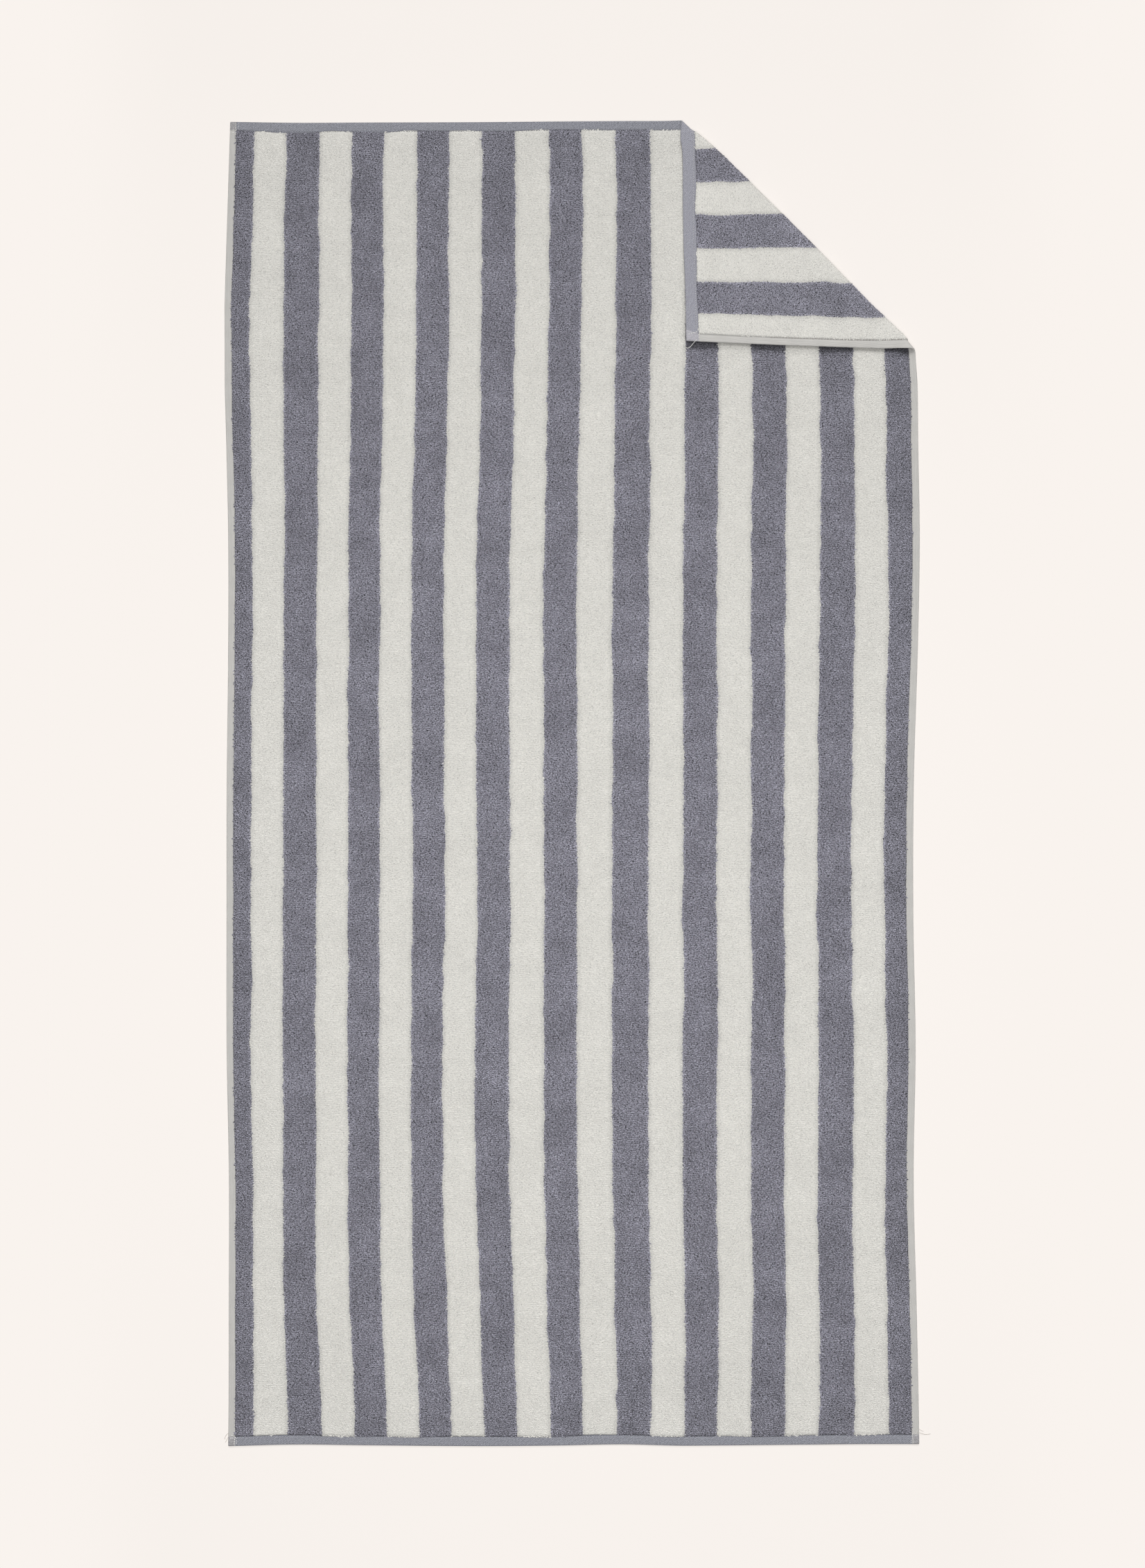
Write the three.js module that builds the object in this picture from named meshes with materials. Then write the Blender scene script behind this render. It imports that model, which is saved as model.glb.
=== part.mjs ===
// A bath towel laid out flat with its face up and one corner turned down over the face.
//
// Millimetres. X runs across the towel, Y along it and Z up from the surface it lies on.
// The towel is one closed solid: a length of terry whose four sides are thin turned hems.
// A point of the cloth is named by u, its distance from the left selvedge, and v, its distance
// from the bottom end, both measured on the flat cloth.

import * as THREE from 'three';

// Cut size of the cloth, hems turned.
const WIDTH = 782;
const LENGTH = 1502;

// Thickness of the cloth, the pile of both sides included, and of the turned hems without pile.
const PILE_THICK = 4.0;
const HEM_THICK = 2.4;
const END_HEM = 11;
const SIDE_HEM = 8;
const PILE_RAMP = 2;

// The corner is turned along a line at 45 degrees, this far from the middle of the towel. The
// underside of the turned corner lies clear of the face below by the layer gap.
const FOLD_DISTANCE = 618.4;
const LAYER_GAP = 0.6;
const FOLD_START_U = 521.5;
const FOLD_END_V = 1237;
const ROLL_SETTLES = 60;
const COMMON_ROLL = 3.4;
const WIDEST_ROLL = 4.3;

// How the fold runs, from the top end of the towel to its right side. along is the distance down
// the fold, set is how far the crease stands out from the straight line, roll is the radius of
// the bend at mid-cloth, and pull is how far in from the bend the turned cloth is drawn askew.
const FOLD_ROWS = [
  { along: 0, set: -1.6, roll: 1.6, pull: 170 },
  { along: 15, set: -1.3, roll: 1.8, pull: 170 },
  { along: 24, set: -0.9, roll: 2.8, pull: 160 },
  { along: 50, set: 0.4, roll: 3.4, pull: 120 },
  { along: 110, set: 1.2, roll: 3.4, pull: 100 },
  { along: 220, set: 1.5, roll: 3.4, pull: 80 },
  { along: 300, set: 0.3, roll: 3.4, pull: 50 },
  { along: 338, set: 1.6, roll: 3.4, pull: 30 },
  { along: 354, set: 2.0, roll: 3.2, pull: 25 },
  { along: 364, set: -0.5, roll: 4.0, pull: 25 },
  { along: 378, set: -1.5, roll: 4.3, pull: 25 },
];
const FOLD_TOP_END = -445;

// How far the cloth lies to the right of its straight place, at five places across it.
// y is measured along the towel from its middle.
const SWAY_STATIONS = [
  { part: 0.0, column: 'left' },
  { part: 0.28, column: 'midLeft' },
  { part: 0.52, column: 'centre' },
  { part: 0.76, column: 'midRight' },
  { part: 1.0, column: 'right' },
];
const SWAY_ROWS = [
  { y: -751, left: -0.7, midLeft: -4.0, centre: -7.0, midRight: -5.5, right: 2.2 },
  { y: -690, left: -0.1, midLeft: -4.5, centre: -7.5, midRight: -5.0, right: 1.2 },
  { y: -600, left: 0.0, midLeft: -8.5, centre: -9.5, midRight: -4.0, right: -0.7 },
  { y: -450, left: 0.2, midLeft: -11.0, centre: -12.5, midRight: -5.5, right: -4.2 },
  { y: -300, left: -2.4, midLeft: -11.5, centre: -13.5, midRight: -6.0, right: -2.0 },
  { y: -150, left: -2.5, midLeft: -10.0, centre: -13.0, midRight: -5.5, right: -4.6 },
  { y: 0, left: -2.3, midLeft: -10.5, centre: -13.5, midRight: -5.0, right: -4.0 },
  { y: 150, left: -0.7, midLeft: -11.0, centre: -12.5, midRight: -5.0, right: 0.5 },
  { y: 275, left: -0.6, midLeft: -10.0, centre: -12.0, midRight: -4.5, right: 2.7 },
  { y: 380, left: -2.7, midLeft: -6.5, centre: -11.0, midRight: -3.5, right: 1.0 },
  { y: 450, left: -4.5, midLeft: -6.0, centre: -9.5, midRight: -4.0, right: 0.2 },
  { y: 488, left: -4.6, midLeft: -5.8, centre: -8.7, midRight: -4.8, right: -2.2 },
  { y: 515, left: -4.7, midLeft: -5.6, centre: -8.1, midRight: -5.4, right: -1.1 },
  { y: 545, left: -4.7, midLeft: -5.5, centre: -7.5, midRight: -6.1, right: -2.6 },
  { y: 650, left: -1.5, midLeft: -5.5, centre: -7.0, midRight: -8.0, right: -6.3 },
  { y: 751, left: 1.6, midLeft: -5.0, centre: -8.0, midRight: -9.0, right: -10.7 },
];

// How far each end of the cloth stands above its straight line, by the part of the width.
const END_ROWS = [
  { part: 0.0, top: 0.2, bottom: -1.7 },
  { part: 0.1, top: -0.9, bottom: 0.2 },
  { part: 0.2, top: -0.6, bottom: -0.6 },
  { part: 0.36, top: -0.2, bottom: -1.6 },
  { part: 0.48, top: 0.6, bottom: -1.0 },
  { part: 0.58, top: 1.1, bottom: 0.4 },
  { part: 0.66, top: 1.5, bottom: -1.1 },
  { part: 0.7, top: 4.0, bottom: -1.0 },
  { part: 0.77, top: 7.0, bottom: -0.5 },
  { part: 0.85, top: 6.0, bottom: 0.1 },
  { part: 0.92, top: 4.0, bottom: 0.6 },
  { part: 1.0, top: 2.8, bottom: 0.6 },
];

// Low places where the cloth doesn't lie quite down: centre, half sizes and height.
const SWELL_ROWS = [
  { x: -255, y: 560, across: 110, along: 150, rise: 1.3 },
  { x: 60, y: 330, across: 150, along: 120, rise: 1.0 },
  { x: 290, y: 250, across: 90, along: 170, rise: 1.2 },
  { x: -290, y: 60, across: 80, along: 190, rise: 1.0 },
  { x: 215, y: -160, across: 120, along: 130, rise: 1.1 },
  { x: -120, y: -330, across: 140, along: 110, rise: 1.2 },
  { x: 150, y: -560, across: 160, along: 120, rise: 1.4 },
  { x: -270, y: -610, across: 90, along: 90, rise: 1.0 },
];

// Number of cells in each stretch of the mesh.
const CELLS_ACROSS = 24;
const CELLS_BELOW_FOLD = 34;
const CELLS_ALONG_FOLD = 12;
const CELLS_ROUND_BEND = 8;
const CELLS_ON_TURNED_CORNER = 9;

const COLOUR = '#a9a8aa';
const ROUGHNESS = 0.95;

// A smooth curve through the rows of a table: cubic pieces whose slope at each row is the slope
// between its two neighbours.
function smoothThrough(rows, input, output, at) {
  const last = rows.length - 1;
  const place = Math.min(Math.max(at, rows[0][input]), rows[last][input]);
  let low = 0;
  while (low < last - 1 && rows[low + 1][input] < place) {
    low += 1;
  }
  const slopeAt = (row) => {
    const before = rows[Math.max(row - 1, 0)];
    const after = rows[Math.min(row + 1, last)];
    return (after[output] - before[output]) / (after[input] - before[input]);
  };
  const span = rows[low + 1][input] - rows[low][input];
  const t = (place - rows[low][input]) / span;
  const t2 = t * t;
  const t3 = t2 * t;
  return (
    (2 * t3 - 3 * t2 + 1) * rows[low][output] +
    (t3 - 2 * t2 + t) * span * slopeAt(low) +
    (3 * t2 - 2 * t3) * rows[low + 1][output] +
    (t3 - t2) * span * slopeAt(low + 1)
  );
}

function ease(t) {
  return THREE.MathUtils.smoothstep(t, 0, 1);
}

// Where a point of the cloth lies on the surface, before the corner is turned.
function flatPlace(u, v) {
  const straightY = v - LENGTH / 2;
  const part = u / WIDTH;
  const shifts = SWAY_STATIONS.map((station) => ({
    part: station.part,
    shift: smoothThrough(SWAY_ROWS, 'y', station.column, straightY),
  }));
  const top = smoothThrough(END_ROWS, 'part', 'top', part);
  const bottom = smoothThrough(END_ROWS, 'part', 'bottom', part);
  return {
    x: u - WIDTH / 2 + smoothThrough(shifts, 'part', 'shift', part),
    y: straightY + THREE.MathUtils.lerp(bottom, top, v / LENGTH),
  };
}

// Thickness of the cloth: thin in the hems, and full where the pile stands inside them.
function thickness(u, v) {
  const insideSide = Math.min(u, WIDTH - u) - SIDE_HEM;
  const insideEnd = Math.min(v, LENGTH - v) - END_HEM;
  const inside = Math.min(insideSide, insideEnd) / PILE_RAMP;
  return THREE.MathUtils.lerp(HEM_THICK, PILE_THICK, THREE.MathUtils.clamp(inside, 0, 1));
}

// Height of the top of the single cloth at a place on the surface.
function faceHeight(x, y) {
  const straight = flatPlace(x + WIDTH / 2, y + LENGTH / 2);
  const u = x + WIDTH / 2 - (straight.x - x);
  const v = y + LENGTH / 2 - (straight.y - y);
  return thickness(THREE.MathUtils.clamp(u, 0, WIDTH), THREE.MathUtils.clamp(v, 0, LENGTH));
}

function swell(x, y) {
  let rise = 0;
  for (const row of SWELL_ROWS) {
    const reach = ((x - row.x) / row.across) ** 2 + ((y - row.y) / row.along) ** 2;
    rise += reach < 1 ? row.rise * (1 - reach) ** 2 : 0;
  }
  return rise;
}

// Lays a point of the cloth: the middle of its thickness, and half its thickness times the
// direction in which its face looks. Cloth past the fold line first goes round the bend, then
// back over the face, where it settles from the bend's height down to a layer gap.
function lay(u, v) {
  const flat = flatPlace(u, v);
  const half = thickness(u, v) / 2;
  const out = (flat.x + flat.y) * Math.SQRT1_2;
  const down = (flat.x - flat.y) * Math.SQRT1_2;
  const along = down - FOLD_TOP_END;
  const set = smoothThrough(FOLD_ROWS, 'along', 'set', along);
  const roll = smoothThrough(FOLD_ROWS, 'along', 'roll', along);
  const pull = smoothThrough(FOLD_ROWS, 'along', 'pull', along);
  const crease = FOLD_DISTANCE + set;
  const past = out - crease;
  const angle = THREE.MathUtils.clamp(past / roll, 0, Math.PI);
  const overlap = Math.max(past - Math.PI * roll, 0);
  const askew = (2 * set + Math.PI * (roll - COMMON_ROLL)) * ease(overlap / pull);
  const reach = Math.min(past, 0) + roll * Math.sin(angle) - overlap - askew;
  const x = (crease + reach + down) * Math.SQRT1_2;
  const y = (crease + reach - down) * Math.SQRT1_2;
  let height = half + roll * (1 - Math.cos(angle));
  if (overlap > 0) {
    const resting = faceHeight(x, y) + LAYER_GAP + half;
    height = Math.max(THREE.MathUtils.lerp(height, resting, ease(overlap / ROLL_SETTLES)), resting);
  }
  const middle = new THREE.Vector3(x, y, height + swell(x, y));
  const tilt = -Math.sin(angle) * Math.SQRT1_2;
  const facing = new THREE.Vector3(tilt, tilt, Math.cos(angle)).multiplyScalar(half);
  return { middle, facing };
}

// The cloth as a net of points and triangles, in u and v.
class Net {
  constructor() {
    this.points = [];
    this.triangles = [];
  }

  point(u, v) {
    this.points.push({ u, v });
    return this.points.length - 1;
  }

  // Joins two rows of points by triangles, leaving out those that have shrunk to a line.
  join(row, next) {
    for (let i = 0; i < row.length - 1; i += 1) {
      this.triangle(row[i], row[i + 1], next[i + 1]);
      this.triangle(row[i], next[i + 1], next[i]);
    }
  }

  triangle(a, b, c) {
    if (a !== b && b !== c && c !== a) {
      this.triangles.push([a, b, c]);
    }
  }

  // The triangle sides that only one triangle has, which are the edge of the cloth.
  rim() {
    const sides = new Map();
    for (const [a, b, c] of this.triangles) {
      for (const [from, to] of [[a, b], [b, c], [c, a]]) {
        sides.set(`${from} ${to}`, [from, to]);
      }
    }
    return [...sides.values()].filter(([from, to]) => !sides.has(`${to} ${from}`));
  }
}

function steps(from, to, count) {
  return Array.from({ length: count + 1 }, (_, i) => THREE.MathUtils.lerp(from, to, i / count));
}

// Rows across the cloth from its left selvedge to its right one or, above the end of the fold,
// to the fold line. Returns the points on the fold line, from the right selvedge to the top end.
function addMainCloth(net) {
  const slope = (LENGTH - FOLD_END_V) / (WIDTH - FOLD_START_U);
  const sideInside = SIDE_HEM + PILE_RAMP;
  const endInside = END_HEM + PILE_RAMP;
  const aboveHem = FOLD_END_V + sideInside * slope;
  const heights = [
    0,
    END_HEM,
    ...steps(endInside, FOLD_END_V, CELLS_BELOW_FOLD),
    FOLD_END_V + SIDE_HEM * slope,
    ...steps(aboveHem, LENGTH - endInside, CELLS_ALONG_FOLD),
    LENGTH - END_HEM,
    LENGTH,
  ];
  const foldPoints = [];
  let before = null;
  for (const v of heights) {
    const rightEnd = WIDTH - Math.max(v - FOLD_END_V, 0) / slope;
    const across = [
      0,
      SIDE_HEM,
      ...steps(sideInside, rightEnd - sideInside, CELLS_ACROSS),
      rightEnd - SIDE_HEM,
      rightEnd,
    ];
    const row = across.map((u) => net.point(u, v));
    if (before) {
      net.join(before, row);
    }
    if (v >= FOLD_END_V) {
      foldPoints.push(row.at(-1));
    }
    before = row;
  }
  return foldPoints;
}

// Rows alongside the fold line, from it to the turned corner, each as long as the corner is wide
// there and running from the top end to the right selvedge. The last row has shrunk to the inner
// corner of the hems, which a fan of triangles closes.
function addTurnedCorner(net, foldPoints) {
  const width = WIDTH - FOLD_START_U;
  const height = LENGTH - FOLD_END_V;
  const depth = (width * height) / Math.hypot(width, height);
  const sideInside = SIDE_HEM + PILE_RAMP;
  const endInside = END_HEM + PILE_RAMP;
  const lastShare = sideInside / width + endInside / height;
  const bendShare = (Math.PI * WIDEST_ROLL) / depth;
  const shares = [
    ...steps(1, 1 - bendShare, CELLS_ROUND_BEND).slice(1),
    ...steps(1 - bendShare, lastShare, CELLS_ON_TURNED_CORNER).slice(1),
  ];
  let before = foldPoints.toReversed();
  for (const share of shares) {
    const endPart = endInside / height / share;
    const sidePart = sideInside / width / share;
    const parts = [
      0,
      END_HEM / height / share,
      ...steps(endPart, 1 - sidePart, CELLS_ALONG_FOLD),
      1 - SIDE_HEM / width / share,
      1,
    ];
    const at = (part) => [WIDTH - width * share * (1 - part), LENGTH - height * share * part];
    const shrunk = share === shares.at(-1);
    const inner = shrunk ? net.point(...at(endPart)) : null;
    const row = parts.map((part, i) => {
      const inPile = i > 1 && i < parts.length - 2;
      return shrunk && inPile ? inner : net.point(...at(part));
    });
    net.join(before, row);
    before = row;
  }
  const hub = net.point(WIDTH - SIDE_HEM, LENGTH - END_HEM);
  const corner = net.point(WIDTH, LENGTH);
  const ring = [...before, corner, before[0]];
  for (let i = 0; i < ring.length - 1; i += 1) {
    net.triangle(hub, ring[i], ring[i + 1]);
  }
}

// The solid: the net laid out twice, as face and back, and joined all round its rim.
function solidFrom(net) {
  const places = net.points.map(({ u, v }) => lay(u, v));
  const faces = places.map(({ middle, facing }) => middle.clone().add(facing));
  const backs = places.map(({ middle, facing }) => middle.clone().sub(facing));
  const count = net.points.length;
  const index = [];
  for (const [a, b, c] of net.triangles) {
    index.push(a, b, c, a + count, c + count, b + count);
  }
  for (const [from, to] of net.rim()) {
    index.push(to, from, from + count, to, from + count, to + count);
  }
  const geometry = new THREE.BufferGeometry().setFromPoints([...faces, ...backs]);
  geometry.setIndex(index);
  geometry.computeVertexNormals();
  return geometry;
}

function makeTowel() {
  const net = new Net();
  addTurnedCorner(net, addMainCloth(net));
  const geometry = solidFrom(net);
  geometry.computeBoundingBox();
  const middle = geometry.boundingBox.getCenter(new THREE.Vector3());
  geometry.translate(-middle.x, -middle.y, 0);
  const material = new THREE.MeshStandardMaterial({
    color: COLOUR,
    roughness: ROUGHNESS,
    metalness: 0,
  });
  const towel = new THREE.Mesh(geometry, material);
  towel.name = 'towel';
  return towel;
}

const model = new THREE.Group();
model.add(makeTowel());

export default model;
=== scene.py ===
"""A striped terry bath towel, lying flat with its top right corner turned down over its face.

The frame is metres, X across the towel, Y along it and Z up from the surface it lies on. Sizes
of the cloth are given in millimetres. A point of the cloth is named by u, its distance from the
left selvedge, and v, its distance from the bottom end, both measured on the flat cloth.
"""

import logging
import math
from dataclasses import dataclass, field
from enum import Enum

import bpy
import numpy as np
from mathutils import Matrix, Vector

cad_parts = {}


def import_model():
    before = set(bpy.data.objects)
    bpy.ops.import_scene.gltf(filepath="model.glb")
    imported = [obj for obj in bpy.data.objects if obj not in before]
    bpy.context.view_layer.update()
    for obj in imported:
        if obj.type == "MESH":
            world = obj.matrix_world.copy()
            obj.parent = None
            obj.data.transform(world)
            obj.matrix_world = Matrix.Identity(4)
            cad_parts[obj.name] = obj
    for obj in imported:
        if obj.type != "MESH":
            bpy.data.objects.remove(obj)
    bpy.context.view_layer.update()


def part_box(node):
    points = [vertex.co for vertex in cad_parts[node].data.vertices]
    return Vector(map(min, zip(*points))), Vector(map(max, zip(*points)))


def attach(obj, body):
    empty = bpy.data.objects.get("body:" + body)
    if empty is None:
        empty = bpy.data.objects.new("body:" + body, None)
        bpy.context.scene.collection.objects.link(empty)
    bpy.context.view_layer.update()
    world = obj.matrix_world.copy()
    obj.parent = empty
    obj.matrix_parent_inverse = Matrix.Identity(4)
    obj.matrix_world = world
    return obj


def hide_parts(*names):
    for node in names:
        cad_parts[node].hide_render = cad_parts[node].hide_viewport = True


Array = np.ndarray
Colour = tuple[float, float, float]
Socket = bpy.types.NodeSocket

LOG = logging.getLogger("towel")
MM = 0.001
BODY = "root"
NODE = "towel"

# Each part of a step of length one that runs halfway between two axes.
DIAGONAL = math.sqrt(0.5)

# Lattice points along each side of a random field, after which it repeats.
LATTICE = 512

# How much cotton mirrors, and how rough its sheen is.
COTTON_GLOSS = 0.12
COTTON_SHEEN_ROUGHNESS = 0.6


def srgb(red: float, green: float, blue: float) -> Colour:
    """A colour written as screen values from 0 to 255, in the linear values that shaders take."""
    shares = (red / 255, green / 255, blue / 255)
    return tuple(x / 12.92 if x <= 0.04045 else ((x + 0.055) / 1.055) ** 2.4 for x in shares)


def ease(t: Array) -> Array:
    """t held between 0 and 1 and eased at both ends: 3 t squared less 2 t cubed."""
    held = np.clip(t, 0.0, 1.0)
    return held * held * (3.0 - 2.0 * held)


def blend(low: Array, high: Array, share: Array) -> Array:
    """The value that lies this share of the way from low to high."""
    return low + (high - low) * share


def smooth_curve(knots: Array, values: Array, at: Array) -> Array:
    """A smooth curve through the values at the knots.

    Between two knots it is the cubic whose slope at each knot is the slope between that knot's
    two neighbours. values may hold one column for each place in at.

    Args:
        knots: Places of the values, rising.
        values: One value, or one row of values, for each knot.
        at: Places to read the curve at. Beyond the knots it keeps its end values.

    Returns:
        The curve's values.
    """
    gaps = (slice(None),) + (None,) * (values.ndim - 1)
    slopes = np.empty_like(values)
    slopes[1:-1] = (values[2:] - values[:-2]) / (knots[2:] - knots[:-2])[gaps]
    slopes[0] = (values[1] - values[0]) / (knots[1] - knots[0])
    slopes[-1] = (values[-1] - values[-2]) / (knots[-1] - knots[-2])
    place = np.clip(at, knots[0], knots[-1])
    low = np.clip(np.searchsorted(knots, place) - 1, 0, len(knots) - 2)
    span = knots[low + 1] - knots[low]
    t = (place - knots[low]) / span
    if values.ndim == 1:
        begin, end, leave, reach = values[low], values[low + 1], slopes[low], slopes[low + 1]
    else:
        own = np.arange(len(at))
        begin, end = values[low, own], values[low + 1, own]
        leave, reach = slopes[low, own], slopes[low + 1, own]
    return (
        (2 * t**3 - 3 * t**2 + 1) * begin
        + (t**3 - 2 * t**2 + t) * span * leave
        + (3 * t**2 - 2 * t**3) * end
        + (t**3 - t**2) * span * reach
    )


def patches(seed: int, size: float, x: Array, y: Array) -> Array:
    """A smooth random field from -1 to 1.

    Each point of a square lattice has a random value, and the values are joined by eased steps
    along both directions.

    Args:
        seed: Picks the random values.
        size: Distance between lattice points.
        x: First coordinates.
        y: Second coordinates.

    Returns:
        The field at each point.
    """
    lattice = np.random.default_rng(seed).uniform(-1.0, 1.0, (LATTICE, LATTICE))
    column, row = x / size + LATTICE / 2, y / size + LATTICE / 2
    i, j = np.floor(column).astype(int), np.floor(row).astype(int)
    s, t = ease(column - i), ease(row - j)
    i, next_i = i % LATTICE, (i + 1) % LATTICE
    j, next_j = j % LATTICE, (j + 1) % LATTICE
    left = blend(lattice[i, j], lattice[i, next_j], t)
    right = blend(lattice[next_i, j], lattice[next_i, next_j], t)
    return blend(left, right, s)


@dataclass(frozen=True)
class Table:
    """A short table with named columns. Its first column is the place, and it rises."""

    columns: tuple[str, ...]
    rows: tuple[tuple[float, ...], ...]

    def column(self, name: str) -> Array:
        """All the values of one column."""
        return np.array([row[self.columns.index(name)] for row in self.rows], float)

    def curve(self, name: str, at: Array) -> Array:
        """A smooth curve through one column, read at these places."""
        return smooth_curve(self.column(self.columns[0]), self.column(name), at)

    def mounds(self, x: Array, y: Array) -> Array:
        """The sum of smooth mounds, one for each row of centre, half sizes and height.

        A mound's height falls off with the square of 1 less the squared distance from its
        centre, measured in half sizes.

        Args:
            x: First coordinates.
            y: Second coordinates.

        Returns:
            The height at each point.
        """
        total = np.zeros_like(x)
        for at_x, at_y, across, along, height in self.rows:
            reach = ((x - at_x) / across) ** 2 + ((y - at_y) / along) ** 2
            total += height * np.clip(1.0 - reach, 0.0, None) ** 2
        return total


class Side(Enum):
    """The two sides of the cloth. The value is the sign of a height above mid-cloth."""

    FACE = 1
    BACK = -1


# How the fold runs, from the top end of the towel to its right side. along is the distance down
# the fold, set is how far the crease stands out from the straight line, roll is the radius of
# the bend at mid-cloth, and pull is how far in from the bend the turned cloth is drawn askew.
FOLD = Table(
    ("along", "set", "roll", "pull"),
    (
        (0, -1.6, 1.6, 170),
        (15, -1.3, 1.8, 170),
        (24, -0.9, 2.8, 160),
        (50, 0.4, 3.4, 120),
        (110, 1.2, 3.4, 100),
        (220, 1.5, 3.4, 80),
        (300, 0.3, 3.4, 50),
        (338, 1.6, 3.4, 30),
        (354, 2.0, 3.2, 25),
        (364, -0.5, 4.0, 25),
        (378, -1.5, 4.3, 25),
    ),
)

# How far the cloth lies to the right of its straight place, at five places across it. y is
# measured along the towel from its middle.
SWAY = Table(
    ("y", "left", "mid_left", "centre", "mid_right", "right"),
    (
        (-751, -0.7, -4.0, -7.0, -5.5, 2.2),
        (-690, -0.1, -4.5, -7.5, -5.0, 1.2),
        (-600, 0.0, -8.5, -9.5, -4.0, -0.7),
        (-450, 0.2, -11.0, -12.5, -5.5, -4.2),
        (-300, -2.4, -11.5, -13.5, -6.0, -2.0),
        (-150, -2.5, -10.0, -13.0, -5.5, -4.6),
        (0, -2.3, -10.5, -13.5, -5.0, -4.0),
        (150, -0.7, -11.0, -12.5, -5.0, 0.5),
        (275, -0.6, -10.0, -12.0, -4.5, 2.7),
        (380, -2.7, -6.5, -11.0, -3.5, 1.0),
        (450, -4.5, -6.0, -9.5, -4.0, 0.2),
        (488, -4.6, -5.8, -8.7, -4.8, -2.2),
        (515, -4.7, -5.6, -8.1, -5.4, -1.1),
        (545, -4.7, -5.5, -7.5, -6.1, -2.6),
        (650, -1.5, -5.5, -7.0, -8.0, -6.3),
        (751, 1.6, -5.0, -8.0, -9.0, -10.7),
    ),
)
SWAY_PARTS = (0.0, 0.28, 0.52, 0.76, 1.0)

# How far each end of the cloth stands above its straight line, by the part of the width.
ENDS = Table(
    ("part", "top", "bottom"),
    (
        (0.0, 0.2, -1.7),
        (0.1, -0.9, 0.2),
        (0.2, -0.6, -0.6),
        (0.36, -0.2, -1.6),
        (0.48, 0.6, -1.0),
        (0.58, 1.1, 0.4),
        (0.66, 1.5, -1.1),
        (0.7, 4.0, -1.0),
        (0.77, 7.0, -0.5),
        (0.85, 6.0, 0.1),
        (0.92, 4.0, 0.6),
        (1.0, 2.8, 0.6),
    ),
)

# How far the yarns stand to the left of their even places, by the distance from the left selvedge.
STRAYS = Table(
    ("u", "by"),
    (
        (28, -0.4),
        (66, -0.4),
        (104, -1.6),
        (142, -1.7),
        (180, -0.4),
        (218, -0.4),
        (256, 0.5),
        (294, 0.5),
        (332, 0.0),
        (370, -1.2),
        (408, -0.3),
        (446, -1.4),
        (484, -2.3),
        (522, -1.8),
        (560, -0.4),
        (598, -0.2),
        (636, 0.9),
        (674, 1.3),
        (712, 0.7),
        (750, 1.5),
    ),
)

# Places where the yarns are drawn aside, to the left where by is above nothing: centre and half
# sizes on the flat cloth, and how far.
DRAWN = Table(
    ("u", "v", "across", "along", "by"),
    (
        (28, 540, 60, 90, -1.4),
        (100, 230, 90, 170, 2.6),
        (126, 1295, 90, 110, -1.4),
        (190, 10, 190, 90, -2.2),
        (205, 1105, 90, 110, 1.5),
        (273, 420, 80, 110, 1.8),
        (280, 176, 100, 110, -1.6),
        (383, 948, 120, 150, 1.4),
        (525, 1410, 45, 260, -2.6),
        (583, 656, 260, 90, 1.0),
        (607, 538, 170, 90, -1.1),
        (640, 1455, 110, 150, -3.2),
        (733, 365, 80, 170, -2.2),
        (735, 1490, 75, 80, -2.0),
        (754, 1113, 60, 200, 2.0),
    ),
)

# Low places where the cloth doesn't lie quite down: centre, half sizes and height.
SWELLS = Table(
    ("x", "y", "across", "along", "rise"),
    (
        (-290, 60, 80, 190, 1.0),
        (-270, -610, 90, 90, 1.0),
        (-255, 560, 110, 150, 1.3),
        (-120, -330, 140, 110, 1.2),
        (60, 330, 150, 120, 1.0),
        (150, -560, 160, 120, 1.4),
        (215, -160, 120, 130, 1.1),
        (290, 250, 90, 170, 1.2),
    ),
)


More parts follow.
